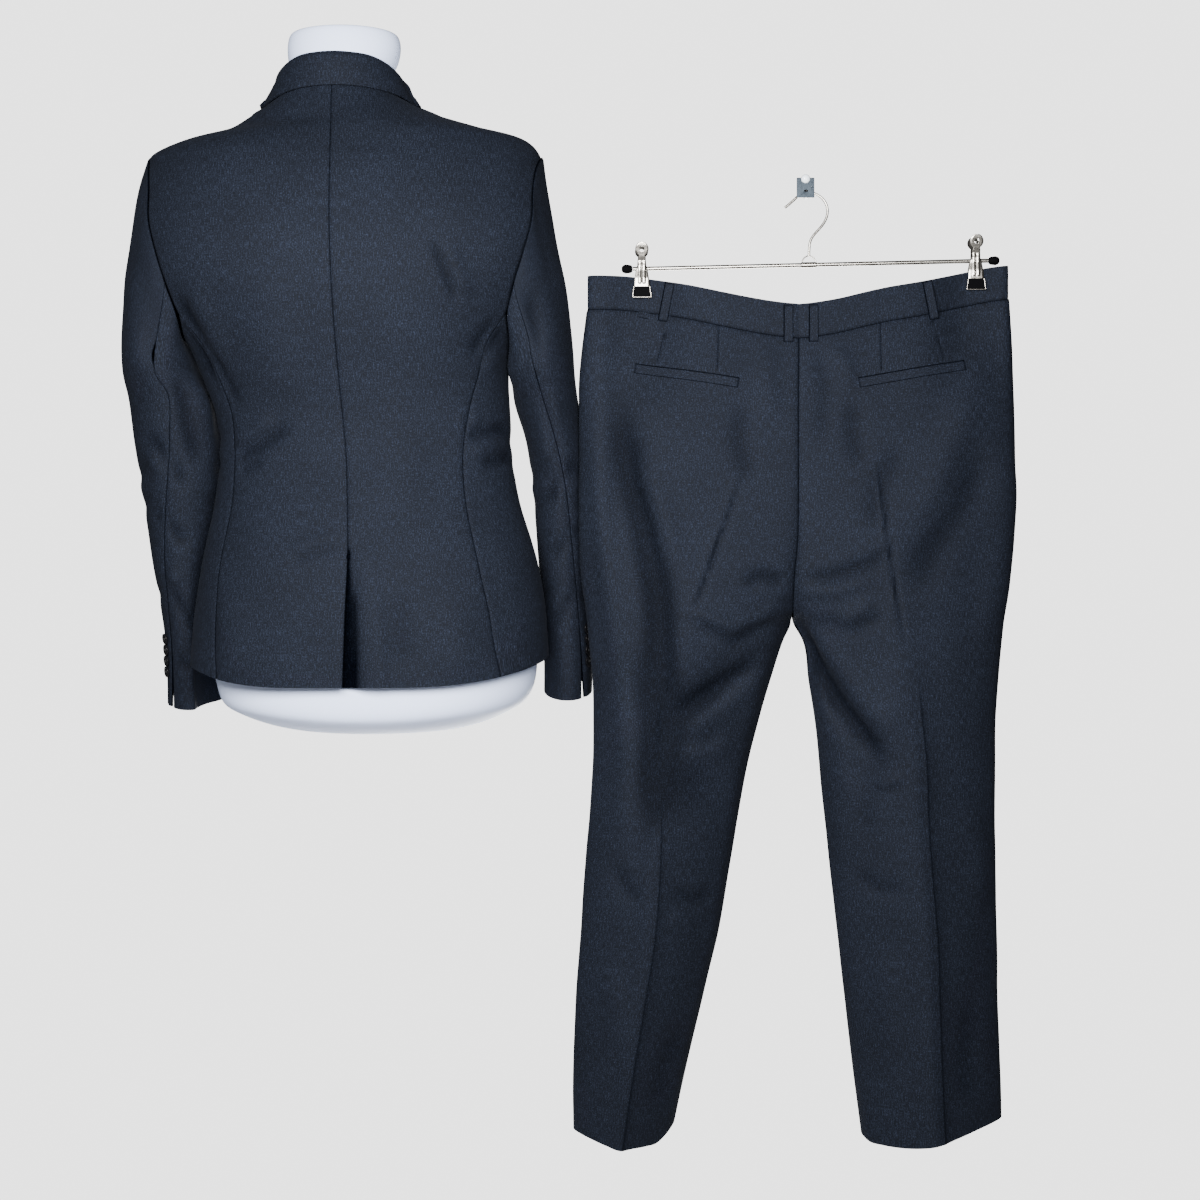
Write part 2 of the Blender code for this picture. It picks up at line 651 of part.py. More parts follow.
def collar_front_frame(side, roll_z, seam_z, stand):
    """The same where the collar lies on the front panel."""
    start = math.pi - float(angle_at(front_edge(roll_z), roll_z))
    roll = torso(np.array(side * start), np.array(roll_z))
    angles = side * np.linspace(start, math.radians(91), 60)
    line = torso(angles, np.full(60, seam_z))
    best = int(np.argmin(np.abs(np.linalg.norm(line - roll, axis=-1) - COLLAR_INSET)))
    out = outward(torso, angles[best], np.array(seam_z)) * side
    out = out if out @ (line[best] - np.array([-0.52, JACKET_Y, seam_z])) > 0 else -out
    base = line[best] + out * COLLAR_LIFT
    up = (roll - line[best]) / np.linalg.norm(roll - line[best])
    up = up * (1 - stand) + np.array([0, 0, 1.0]) * stand
    up /= np.linalg.norm(up)
    out = out - up * (out @ up)
    return base, up, out / np.linalg.norm(out)


def collar_line(frame, height, fat, lean, spread):
    """The two faces of the collar at one place along it."""
    base, up, out = frame
    path = np.array(COLLAR_PROFILE) * MM * (height, fat)
    along = np.gradient(path, axis=0)
    across = np.stack([along[:, 1], -along[:, 0]], axis=-1)
    across /= np.linalg.norm(across, axis=-1, keepdims=True)
    lines = []
    for points in (path, path + across * COLLAR_CLOTH):
        rise, reach = points[:, 0:1], points[:, 1:2]
        fold = rise / (27.4 * MM * height)
        fall = np.clip((path[:, 1:2] / (MM * fat) - 3.6) / 2.0, 0, 1)
        low = np.clip(1 - fold, 0, 1.3)
        lines.append(base + up * rise + out * (reach - lean * fold + spread * fall * low))
    return lines


def collar_half(side):
    """The faces of half the collar, from the middle of the back to the notch."""
    lines = []
    for degrees in COLLAR_ANGLES:
        angle = math.radians(degrees)
        shape = [float(COLLAR.at(n, angle)) for n in ("height_ratio", "fat_ratio", "lean", "spread")]
        lines.append(collar_line(collar_frame(side, angle), *shape))
    for roll_z, over, stand, height, fat, lean, spread in COLLAR_FRONT:
        frame = collar_front_frame(side, roll_z * MM, (roll_z + over) * MM, stand)
        lines.append(collar_line(frame, height, fat, lean * MM, spread * MM))
    return np.array(lines)


def collar():
    """The collar: a stand round the neck, folded over, and the fall lying outside it."""
    left, right = collar_half(-1), collar_half(1)
    lines = np.concatenate([left[:0:-1], right])
    return wall("jacket_collar", lines[:, 0], lines[:, 1], "suiting")


# ---------------------------------------------------------------- sleeves

def armhole_ring(side):
    """The armhole's points, down the back, under the arm and up the front."""
    ring = [(90.0, -2 * MM)]
    back = [(float(np.degrees(ARMHOLE.at("back_deg", z * MM))), z * MM)
            for z in reversed(BACK_ARM_ROWS[:-1])]
    under = [(angle, armhole_height(angle)) for angle in UNDERARM_ANGLES]
    front = [(float(np.degrees(ARMHOLE.at("front_deg", z * MM))), z * MM)
             for z in FRONT_ARM_ROWS[:-1]]
    ring += back + under + front
    angles = side * np.radians([angle for angle, _ in ring])
    heights = np.array([z for _, z in ring])
    return angles, heights


def clear_of_body(points, side, gap):
    """Sleeve points, moved out sideways where the body or its gap is in the way."""
    z = points[:, 2]
    left, right = TORSO.at("left", z), TORSO.at("right", z)
    back, front = TORSO.at("back", z), TORSO.at("front", z)
    power = TORSO.at("square_ratio", z)
    deep = points[:, 1] - JACKET_Y
    share = np.abs(deep) / np.where(deep < 0, JACKET_Y - back, front - JACKET_Y)
    width = np.clip(1 - np.minimum(share, 1) ** power, 0, 1) ** (1 / power)
    edge = (left + right) / 2 + side * ((right - left) / 2 * width + gap)
    points = points.copy()
    limit = np.maximum if side > 0 else np.minimum
    points[:, 0] = np.where(share < 1, limit(points[:, 0], edge), points[:, 0])
    return points


def sleeve_ring(table, z, side, shrink):
    """One ring of the sleeve below the underarm."""
    turn = float(table.at("turn_deg", z))
    ring = np.radians(RING_ANGLES) - turn
    outer, inner = float(table.at("outer", z)), float(table.at("inner", z))
    half_x, half_y = abs(outer - inner) / 2, float(table.at("half", z))
    x = (outer + inner) / 2 + side * (half_x - shrink) * np.cos(ring)
    y = float(table.at("middle", z)) - (half_y - shrink) * np.sin(ring)
    share = blend((-0.40 - z) / 0.20)
    height = z + (y - float(table.at("middle", z))) * CUFF_TILT * share
    points = np.stack([x, y, height], axis=-1)
    return clear_of_body(points, side, SLEEVE_GAP + shrink)


def sleeve_grid(side, shrink):
    """The whole sleeve as rows of rings, from the armhole to the cuff."""
    table = LEFT_SLEEVE if side < 0 else RIGHT_SLEEVE
    head = LEFT_HEAD if side < 0 else RIGHT_HEAD
    angles, heights = armhole_ring(side)
    start = lifted(angles, heights, np.full(angles.shape, -shrink))
    start[:, 0] += side * 5 * SEAM
    end = sleeve_ring(table, -0.236, side, shrink)
    length = np.linalg.norm(end - start, axis=-1, keepdims=True)
    share = length / length.max()
    out = np.clip(np.cos(np.radians(RING_ANGLES)), 0, 1)[:, None]
    leave = (out * (side * head, 0, 0) + (0, 0, -HEAD_DROP)) * share
    arrive = np.array([0, 0, -ARM_DROP]) * share
    rows = []
    for t in CAP_STEPS:
        point = (1 + 2 * t) * (1 - t) ** 2 * start + t * (1 - t) ** 2 * leave
        point = point + t * t * (3 - 2 * t) * end - t * t * (1 - t) * arrive
        rows.append(point)
    below = SLEEVE_ROWS + (LEFT_CUFF if side < 0 else RIGHT_CUFF,)
    rows += [sleeve_ring(table, z * MM, side, shrink) for z in below]
    return np.array(rows)


def sleeve(side):
    """The two pieces of a sleeve: the top piece round the outside, and the under piece."""
    where = "left" if side < 0 else "right"
    outer, inner = sleeve_grid(side, 0.0), sleeve_grid(side, CLOTH)
    count = len(RING_ANGLES)
    top = list(range(FRONT_SEAM, count)) + list(range(0, HIND_SEAM + 1))
    under = list(range(HIND_SEAM, FRONT_SEAM + 1))
    for name, columns in (("top", top), ("under", under)):
        walls = []
        for grid in (outer, inner):
            points = trimmed(grid[:, columns], first=SEAM, last=SEAM)
            if name == "top":
                open_vent(points, -1, -2)
            walls.append(points)
        wall(f"jacket_sleeve_{where}_{name}", *walls, "suiting")
    return outer


def open_vent(points, line, neighbour):
    """Draw the top sleeve's edge back from the seam, more towards the cuff."""
    for row, amount in ((-1, 0.0070), (-2, 0.0035), (-3, 0.0012)):
        step = points[row, neighbour] - points[row, line]
        points[row, line] += step / np.linalg.norm(step) * amount


def disc(name, centre, axis, radius, thickness, finish, sides=12):
    """A round button with a dished face, its back on the centre point."""
    axis = Vector(axis).normalized()
    side = axis.orthogonal().normalized()
    other = axis.cross(side)
    rings = ((1.0, 0.0), (1.0, 0.75), (0.86, 1.0), (0.6, 0.72))
    verts, faces = [], []
    for scale, height in rings:
        for step in range(sides):
            turn = 2 * math.pi * step / sides
            flat = side * math.cos(turn) + other * math.sin(turn)
            verts.append(Vector(centre) + flat * radius * scale + axis * thickness * height)
    for ring in range(len(rings) - 1):
        for step in range(sides):
            here, after = ring * sides + step, ring * sides + (step + 1) % sides
            faces.append((here, after, after + sides, here + sides))
    faces.append(tuple(range(sides - 1, -1, -1)))
    faces.append(tuple(range(len(rings) * sides - sides, len(rings) * sides)))
    return body(name, verts, faces, finish)


BUTTON_STEP = 0.0124


def cuff_buttons(side, grid):
    """Four buttons in a row along the sleeve's vent, on the top piece."""
    where = "left" if side < 0 else "right"
    edge, beside = grid[:, HIND_SEAM], grid[:, HIND_SEAM - 1]
    heights = edge[:, 2]
    first = -0.532 if side < 0 else -0.520
    for number in range(4):
        z = first - number * BUTTON_STEP
        row = int(np.searchsorted(-heights, -z)) - 1
        share = (z - heights[row]) / (heights[row + 1] - heights[row])
        on_edge = edge[row] + (edge[row + 1] - edge[row]) * share
        on_side = beside[row] + (beside[row + 1] - beside[row]) * share
        across = on_side - on_edge
        centre = on_edge + across / np.linalg.norm(across) * 0.0125
        down = edge[row + 1] - edge[row]
        axis = np.cross(down, across) * side
        axis /= np.linalg.norm(axis)
        name = f"jacket_cuff_button_{where}_{number + 1}"
        disc(name, centre + axis * 2 * SEAM, axis, BUTTON, 0.0022, "horn_button", 8)


def front_button():
    """The jacket's one front button, on the lapped edge where the lapel begins."""
    z = -0.330
    base = lifted(np.array(math.pi), np.array(z), np.array(float(LAP.at("lift", z)) + 5 * SEAM))
    disc("jacket_button", base, (0, 1, 0), 0.010, 0.003, "horn_button", 12)


# ---------------------------------------------------------------- trousers

def pinch(x, z, top):
    """How much a clip holds the cloth shut: 1 between its pads, 0 away from it."""
    near = np.minimum(np.abs(x - LEFT_CLIP_X), np.abs(x - RIGHT_CLIP_X))
    across = 1 - blend((near - PINCH_FLAT) / PINCH_FADE)
    down = 1 - blend((top - BAND - z) / PINCH_DEPTH)
    return across * down


def fold_rise(x, z):
    """The sum of the folds at a place on the trousers' back."""
    total = 0.0
    for fold in TROUSER_FOLDS:
        start = np.array([fold["x1"], fold["z1"]]) * MM
        line = np.array([fold["x2"], fold["z2"]]) * MM - start
        place = np.array([x, z]) - start
        share = float(place @ line / (line @ line))
        nearest = start + line * min(1.0, max(0.0, share))
        distance = float(np.linalg.norm(np.array([x, z]) - nearest))
        fade = math.sin(math.pi * min(0.97, max(0.03, share)))
        total += fold["rise"] * MM * fade * math.exp(-(distance / (fold["width"] * MM)) ** 2)
    return total


def trouser_point(table, across, z, face, top):
    """A point of the trousers: across runs from 0 at the outer edge over 1 at the crease
    to 2 at the inner edge. Face is -1 for the back, towards the room, and 1 for the front."""
    outer, crease, inner = (float(table.at(n, z)) for n in ("outer", "crease", "inner"))
    depth = float(table.at("back" if face < 0 else "front", z))
    middle = float(table.at("middle_ratio", z))
    sharp = float(table.at("crease_ratio", z))
    if across <= 1:
        x = outer + (crease - outer) * across
        share = (1 - sharp) * math.sqrt(max(0.0, 1 - (1 - across) ** 2)) + sharp * across
    else:
        x = crease + (inner - crease) * (across - 1)
        left = 2 - across
        round_side = math.sqrt(max(0.0, 1 - (1 - left) ** 2))
        share = middle + (1 - middle) * ((1 - sharp) * round_side + sharp * left)
    free = depth * share
    held = float(pinch(x, z, top))
    reach = free * (1 - held) + min(PINCH, free) * held
    if face < 0:
        reach += fold_rise(x, z) * min(1.0, share * 1.3) * (1 - held)
    return np.array([x, TROUSER_Y + face * reach, z])


def leg_columns(side):
    outer, inner = LEFT_COLUMNS if side < 0 else RIGHT_COLUMNS
    return list(outer) + [1 + share for share in inner]


def waist_top(x, face):
    """The waistband's upper edge: it sags between the clips and dips at the front."""
    top = float(WAIST.at("top", x))
    if face > 0:
        middle = -0.026
        share = 1 - min(1.0, abs(x - middle) / 0.235) ** 2
        top -= FRONT_DIP * share
    return top


def band_top(table, across, face):
    """The waistband's upper edge over a column of a panel."""
    level = -0.190
    return waist_top(trouser_point(table, across, level, face, 0)[0], face)


def leg_grid(side, face):
    """The points of one trouser panel, from the hem up to the waistband's seam."""
    table = LEFT_LEG if side < 0 else RIGHT_LEG
    hem = HEM_LEFT if side < 0 else HEM_RIGHT
    columns = leg_columns(side)
    grid = []
    rows = ["hem"] + sorted(LEG_ROWS) + ["below", "seam"]
    for row in rows:
        points = []
        for across in columns:
            top = band_top(table, across, face)
            heights = {"hem": float(hem.at("z", across / 2)), "seam": top - BAND,
                       "below": (top - BAND) * 0.45 + LEG_ROWS[0] * MM * 0.55}
            z = heights[row] if isinstance(row, str) else row * MM
            points.append(trouser_point(table, across, z, face, top))
        grid.append(points)
    return np.array(grid)


def grid_normals(grid):
    """Normals of a grid of points, from its own lines."""
    along = np.gradient(grid, axis=1)
    across = np.gradient(grid, axis=0)
    normal = np.cross(along, across)
    return normal / np.linalg.norm(normal, axis=-1, keepdims=True)


def level_normals(line):
    """Level directions square to a line of points."""
    along = np.gradient(line, axis=-2)
    normal = np.stack([along[..., 1], -along[..., 0], np.zeros(along.shape[:-1])], axis=-1)
    return normal / np.linalg.norm(normal, axis=-1, keepdims=True)


def inward_grid(grid, side, face, thickness):
    """The inner face of a panel, moved in square to it. At the outer edge, and at the inner
    edge of a leg, the wall turns round the side, so there it moves straight across."""
    normal = grid_normals(grid)
    normal[-1] = level_normals(grid[-1])
    normal *= np.where(normal[..., 1:2] * face < 0, -1, 1)
    normal[:, 0] = (side, 0, 0)
    below = grid[:, -1, 2] <= FORK_Z + 1e-6
    normal[below, -1] = (-side, 0, 0)
    near = np.clip((grid[:, -1, 2] + 0.421) / (FORK_Z + 0.421), 0, 1)[:, None]
    turned = normal[:, -1] * (1 - near) + np.array([-side, 0, 0]) * near
    normal[:, -1] = turned / np.linalg.norm(turned, axis=-1, keepdims=True)
    return grid - normal * thickness


def trouser_panel(side, face):
    """One of the four main pieces: back or front of one leg and half of the seat."""
    grid = leg_grid(side, face)
    inner = inward_grid(grid, side, face, CLOTH)
    seam = SEAM / 2
    cut = dict(top=seam, first=seam, last=seam)
    name = f"trousers_{'back' if face < 0 else 'front'}_{'left' if side < 0 else 'right'}"
    return wall(name, trimmed(grid, **cut), trimmed(inner, **cut), "suiting")


def waistband(side):
    """Half of the waistband, from the middle of the back round the side to the front."""
    table = LEFT_LEG if side < 0 else RIGHT_LEG
    columns = leg_columns(side)
    outer = []
    for share in (0.0, 0.5, 1.0):
        line = []
        for face, run in ((-1, list(reversed(columns))), (1, columns[1:])):
            for across in run:
                top = band_top(table, across, face)
                point = trouser_point(table, across, top - BAND, face, top)
                point[2] = top - BAND * (1 - share)
                line.append(point)
        outer.append(line)
    outer = np.array(outer)
    normal = level_normals(outer)
    turn = np.sign(side * normal[:, len(columns) - 1, 0])[:, None, None]
    inner = outer - normal * turn * CLOTH
    seam = SEAM / 2
    cut = dict(bottom=seam, first=seam, last=seam)
    name = "trousers_waistband_left" if side < 0 else "trousers_waistband_right"
    return wall(name, trimmed(outer, **cut), trimmed(inner, **cut), "suiting_shade")


def surface_tree(*objects):
    """A search tree over the faces of some objects, to find points that lie on them."""
    verts, faces = [], []
    for item in objects:
        start = len(verts)
        verts += [vertex.co.copy() for vertex in item.data.vertices]
        faces += [[start + index for index in face.vertices] for face in item.data.polygons]
    return BVHTree.FromPolygons(verts, faces)


def on_cloth(tree, x, z, face):
    """The y of the cloth's outer face at a place, seen from the room or from the wall."""
    start = Vector((x, face * 1.0, z))
    hit = tree.ray_cast(start, Vector((0, -face, 0)))[0]
    return hit.y


def strip(name, tree, face, start, end, width, thickness, clear, steps, flat=False):
    """A strip laid along the cloth from one place to another, x and z. A flat one keeps
    both of its long edges level with each other."""
    start, end = np.array(start), np.array(end)
    line = (end - start) / np.linalg.norm(end - start)
    square = np.array([line[1], -line[0]])
    outer, inner = [], []
    for step in range(steps + 1):
        middle = start + (end - start) * step / steps
        highs = []
        for share in (-0.5, 0.0, 0.5):
            x, z = middle + square * width * share
            highs.append(face * on_cloth(tree, x, z, face))
        if flat:
            highs = [max(highs)] * 3
        low_row, high_row = [], []
        for share, high in zip((-0.5, 0.5), (highs[0], highs[2])):
            x, z = middle + square * width * share
            y = face * (high + clear)
            low_row.append((x, y, z))
            high_row.append((x, y + face * thickness, z))
        inner.append(low_row)
        outer.append(high_row)
    return wall(name, np.array(outer), np.array(inner), "suiting_shade")


def belt_loops(tree):
    """Belt loops: narrow strips over the waistband, tacked above and below it."""
    places = (
        # name, face, top x, bottom x
        ("back_middle_left", -1, -0.0375, -0.0375),
        ("back_middle_right", -1, -0.0100, -0.0100),
        ("back_left", -1, -0.1660, -0.1740),
        ("back_right", -1, 0.1140, 0.1225),
        ("front_left", 1, -0.1300, -0.1300),
        ("front_right", 1, 0.0780, 0.0780),
    )
    for name, face, top_x, bottom_x in places:
        top = waist_top(top_x, face) - 0.0015
        low = waist_top(bottom_x, face) - BAND - 0.0065
        strip(f"trousers_belt_loop_{name}", tree, face, (top_x, top), (bottom_x, low),
              0.0105, 0.0012, 0.0008, 4, flat=True)


def welts(tree):
    """The two welts of the hip pockets."""
    places = (("left", (-0.2045, -0.2335), (-0.0920, -0.2515)),
              ("right", (0.1565, -0.2305), (0.0382, -0.2515)))
    for name, outer, inner in places:
        strip(f"trousers_welt_{name}", tree, -1, outer, inner, 0.0115, 0.0011, 0.0008, 14)


def trousers():
    panels = {}
    for side in (-1, 1):
        for face in (-1, 1):
            panels[side, face] = trouser_panel(side, face)
    bands = [waistband(side) for side in (-1, 1)]
    everything = surface_tree(*panels.values(), *bands)
    belt_loops(everything)
    welts(everything)
    x = -0.026 + 0.006
    z = waist_top(x, 1) - BAND / 2
    base = (x, on_cloth(everything, x, z, 1) + 0.0009, z)
    disc("trousers_button", base, (0, 1, 0), 0.0075, 0.0022, "horn_button", 10)


# ---------------------------------------------------------------- hanger and hook

def tube(name, points, radius, finish, sides=8):
    """A round wire along a smooth line through the given points, with flat ends."""
    points = [Vector(point) for point in points]
    verts, faces = [], []
    normal = (points[1] - points[0]).orthogonal().normalized()
    for index, point in enumerate(points):
        before = points[max(0, index - 1)]
        after = points[min(len(points) - 1, index + 1)]
        along = (after - before).normalized()
        normal = (normal - along * normal.dot(along)).normalized()
        other = along.cross(normal)
        for step in range(sides):
            turn = 2 * math.pi * step / sides
            verts.append(point + (normal * math.cos(turn) + other * math.sin(turn)) * radius)
    for ring in range(len(points) - 1):
        for step in range(sides):
            here, after = ring * sides + step, ring * sides + (step + 1) % sides
            faces.append((here, after, after + sides, here + sides))
    faces.append(tuple(range(sides - 1, -1, -1)))
    faces.append(tuple(range((len(points) - 1) * sides, len(points) * sides)))
    return body(name, verts, faces, finish)


def smooth_path(points, steps):
    """Points along a smooth curve through the given ones."""
    points = np.array(points, dtype=float)
    where = np.arange(len(points), dtype=float)
    slopes = np.gradient(points, axis=0)
    path = []
    for place in np.linspace(0, len(points) - 1, (len(points) - 1) * steps + 1):
        low = min(int(place), len(points) - 2)
        t = place - where[low]
        path.append((1 + 2 * t) * (1 - t) ** 2 * points[low] + t * (1 - t) ** 2 * slopes[low]
                    + t * t * (3 - 2 * t) * points[low + 1] - t * t * (1 - t) * slopes[low + 1])
    return path


ROD_LEFT = (-0.2065, -0.1232)
ROD_RIGHT = (0.1848, -0.1140)


def rod_height(x):
    share = (x - ROD_LEFT[0]) / (ROD_RIGHT[0] - ROD_LEFT[0])
    return ROD_LEFT[1] + (ROD_RIGHT[1] - ROD_LEFT[1]) * share


def turned(name, profile, centre, finish, sides=10):
    """A round piece on a line along x: profile gives (distance along, radius)."""
    verts, faces = [], []
    for along, radius in profile:
        for step in range(sides):
            turn = 2 * math.pi * step / sides
            verts.append((centre[0] + along, centre[1] + radius * math.cos(turn),
                          centre[2] + radius * math.sin(turn)))
    for ring in range(len(profile) - 1):
        for step in range(sides):
            here, after = ring * sides + step, ring * sides + (step + 1) % sides
            faces.append((here, after, after + sides, here + sides))
    faces.append(tuple(range(sides - 1, -1, -1)))
    faces.append(tuple(range((len(profile) - 1) * sides, len(profile) * sides)))
    return body(name, verts, faces, finish)


def rod():
    left = (ROD_LEFT[0], TROUSER_Y, ROD_LEFT[1])
    right = (ROD_RIGHT[0], TROUSER_Y, ROD_RIGHT[1])
    tube("hanger_rod", (left, right), ROD_RADIUS, "chrome", 10)
    knob = ((0, 0.0034), (0.0022, 0.0046), (0.0075, 0.0052), (0.0105, 0.0040), (0.0118, 0.0020))
    left_knob = [(-along, radius) for along, radius in knob]
    turned("hanger_end_left", left_knob, (left[0] - SEAM, left[1], left[2]), "black_rubber")
    turned("hanger_end_right", knob, (right[0] + SEAM, right[1], right[2]), "black_rubber")


HOOK_POINTS = ((-12.6, -103.2), (-12.2, -96), (-11.4, -90), (-4.8, -83), (3.6, -73.5),
               (8.0, -63), (7.0, -52.5), (1.5, -44.8), (-6, -40.0), (-15, -38.0), (-24, -41.5),
               (-30.5, -49.2), (-38.9, -55.6))


# The eye that joins hook and rod: height over the rod, half width and half depth.
EYE = ((0, 0.0085, 0.0032), (0.0026, 0.0078, 0.0032), (0.0060, 0.0045, 0.0030),
       (0.0090, 0.0026, 0.0026))


def hook():
    """The hanger's wire hook and the eye that holds it on the rod."""
    route = [(x * MM, TROUSER_Y, z * MM) for x, z in HOOK_POINTS]
    x = route[0][0]
    low = rod_height(x) + ROD_RADIUS + SEAM
    route[0] = (x, TROUSER_Y, low + EYE[-1][0] + SEAM)
    tube("hanger_hook", smooth_path(route, 3), WIRE_RADIUS, "chrome", 8)
    verts, faces = [], []
    sides = 12
    for height, half_x, half_y in EYE:
        for step in range(sides):
            turn = 2 * math.pi * step / sides
            verts.append((x + half_x * math.cos(turn), TROUSER_Y + half_y * math.sin(turn),
                          low + height))
    for ring in range(len(EYE) - 1):
        for step in range(sides):
            here, after = ring * sides + step, ring * sides + (step + 1) % sides
            faces.append((here, after, after + sides, here + sides))
    faces.append(tuple(range(sides - 1, -1, -1)))
    faces.append(tuple(range(len(EYE) * sides - sides, len(EYE) * sides)))
    body("hanger_eye", verts, faces, "chrome")


CLIP_PLATE = 0.0012
# A clip's jaw, from its round handle down to its foot: height from the rod, half width,
# and how far its outer face stands from the middle plane.
JAW = ((27.0, 2.6, 11.8), (25.4, 5.6, 11.4), (21.0, 7.2, 10.0), (15.0, 6.4, 8.0),
       (9.0, 3.9, 5.4), (3.5, 4.4, 3.9), (-2.5, 6.4, 3.9), (-10.5, 7.6, 5.3), (-19.8, 8.2, 5.3))


def clip(name, x, face):
    """One jaw of a clip, a bent plate, and the pad on its foot."""
    base = rod_height(x)
    outer, inner = [], []
    for height, half, reach in reversed(JAW):
        z = base + height * MM
        y = TROUSER_Y + face * reach * MM
        outer.append([(x + half * MM * share, y, z) for share in (-1, 0, 1)])
        y -= face * CLIP_PLATE
        inner.append([(x + half * MM * share, y, z) for share in (-1, 0, 1)])
    wall(f"{name}_jaw", np.array(outer), np.array(inner), "chrome")
    near = PINCH + SEAM
    far = JAW[-1][2] * MM - CLIP_PLATE - SEAM
    low, high = base - 0.0325, base - 0.0135
    half_low, half_high = 0.0104, 0.0084
    step_z = base + JAW[-1][0] * MM - SEAM
    verts, faces = [], []
    foot = JAW[-1][2] * MM + 0.0006
    profile = ((near, high), (far, high), (far, step_z), (foot, step_z),
               (foot, low + 0.002), (foot - 0.001, low), (near, low))
    for share in (-1, 1):
        for depth, z in profile:
            half = half_low + (half_high - half_low) * (z - low) / (high - low)
            verts.append((x + half * share, TROUSER_Y + face * depth, z))
    count = len(profile)
    faces.append(tuple(range(count)))
    faces.append(tuple(range(2 * count - 1, count - 1, -1)))
    for step in range(count):
        after = (step + 1) % count
        faces.append((step, after, after + count, step + count))
    body(f"{name}_pad", verts, faces, "black_rubber", smooth=False)


def clips():
    for where, x in (("left", LEFT_CLIP_X), ("right", RIGHT_CLIP_X)):
        for name, face in (("back", -1), ("front", 1)):
            clip(f"hanger_clip_{where}_{name}", x, face)


HOOK_PLATE = (0.0085, 0.0080, 0.003)    # half width, half height and thickness
TAB = (-0.0168, -0.1585, -0.0347)       # the middle of the upturned tab's inner face
TAB_SIZE = (0.0097, 0.0110, 0.0025)     # half width, half height and thickness
BAR = 0.0026                            # half the width of the arm behind the tab
BAR_X = -0.0150


def box_points(x, y, z):
    return [(a, b, c) for a in x for b in y for c in z]


BOX_FACES = ((0, 1, 3, 2), (4, 6, 7, 5), (0, 4, 5, 1), (2, 3, 7, 6), (0, 2, 6, 4), (1, 5, 7, 3))


def wall_hook():
    """The wall hook: a back plate, and an arm that slopes down to an upturned tab."""
    half, tall, thick = HOOK_PLATE
    body("wall_hook_plate", box_points((-half, half), (-thick, 0), (-tall, tall)), BOX_FACES,
         "zinc", smooth=False)
    x, y, z = TAB
    half, tall, thick = TAB_SIZE
    arm_top = HOOK_POINTS[9][1] * MM - WIRE_RADIUS - 3 * SEAM
    start = -HOOK_PLATE[2] - SEAM
    seat = TROUSER_Y + 0.006
    widen = y + 0.0010
    # The arm's side view, closed: y, z, the middle in x and half the width.
    outline = ((start, 0.004, 0, BAR), (seat, arm_top, BAR_X, BAR), (widen, arm_top, BAR_X, BAR),
               (y, z + tall, x, half), (y - thick, z + tall, x, half),
               (y - thick, z - tall, x, half), (y, z - tall, x, half),
               (widen, z - tall + 0.002, BAR_X, BAR), (seat, arm_top - 0.005, BAR_X, BAR),
               (start, -0.002, 0, BAR))
    count = len(outline)
    verts = []
    for sign in (-1, 1):
        verts += [(middle + sign * wide, deep, high) for deep, high, middle, wide in outline]
    faces = []
    for loop in ((0, 1, 8, 9), (1, 2, 7, 8), (2, 3, 6, 7), (3, 4, 5, 6)):
        faces.append(loop)
        faces.append(tuple(index + count for index in reversed(loop)))
    for step in range(count):
        after = (step + 1) % count
        faces.append((step, after, after + count, step + count))
    body("wall_hook_arm", verts, faces, "zinc", smooth=False)
    disc("wall_hook_stud", (x, y - thick - SEAM, z + 0.0095), (0, -1, 0), 0.0050, 0.0040,
         "form_shell", 10)


# ---------------------------------------------------------------- dress form

FORM_SIDES = 32


def ring_faces(rings, sides):
    """Faces of a skin through rings of points, closed by a fan at each end."""
    faces = []
    for ring in range(rings - 1):
        for step in range(sides):
            here, after = ring * sides + step, ring * sides + (step + 1) % sides
            faces += [(here, after, after + sides), (here, after + sides, here + sides)]
    low, high, last = rings * sides, rings * sides + 1, (rings - 1) * sides
    for step in range(sides):
        after = (step + 1) % sides
        faces += [(low, after, step), (high, last + step, last + after)]
    return faces


def form_body():
    """The form's torso, closed: neck, shoulders, arm stumps, waist, hips and round bottom."""
    angles = np.radians(np.arange(FORM_SIDES) * 360 / FORM_SIDES)
    rings = [section(FORM, angles, np.full(FORM_SIDES, z * MM)) for z in (78, 69)]
    clear = FORM_CLEAR + FORM_FRONT_CLEAR * blend((-np.cos(angles) - 0.05) * 2.5)
    rings += [lifted(angles, np.full(FORM_SIDES, z * MM), -clear)
              for z in (61,) + SHOULDER_ROWS[::-1]]
    below = (-6, -24, -55, -95, -140, -180, -212, -245, -285, -330, -380, -427, -475, -530, -575)
    rings += [section(FORM, angles, np.full(FORM_SIDES, z * MM)) for z in below]
    for z in (-598, -607, -622, -632):
        ring = section(FORM, angles, np.full(FORM_SIDES, z * MM))
        centre = ring[:, 0].mean()
        share = np.abs(ring[:, 0] - centre) / np.abs(ring[:, 0] - centre).max()
        sag = RIM_SAG * (1 - share ** 2) * blend((FORM_BOTTOM + 0.036 - z * MM) / -0.036 + 1)
        ring[:, 2] -= sag
        rings.append(ring)
    rings = np.array(rings[::-1])
    ends = [rings[0].mean(axis=0), rings[-1].mean(axis=0)]
    ends[0][2] -= 0.002
    verts = list(rings.reshape(-1, 3)) + ends
    body("form_torso", verts, ring_faces(len(rings), FORM_SIDES), "form_shell")


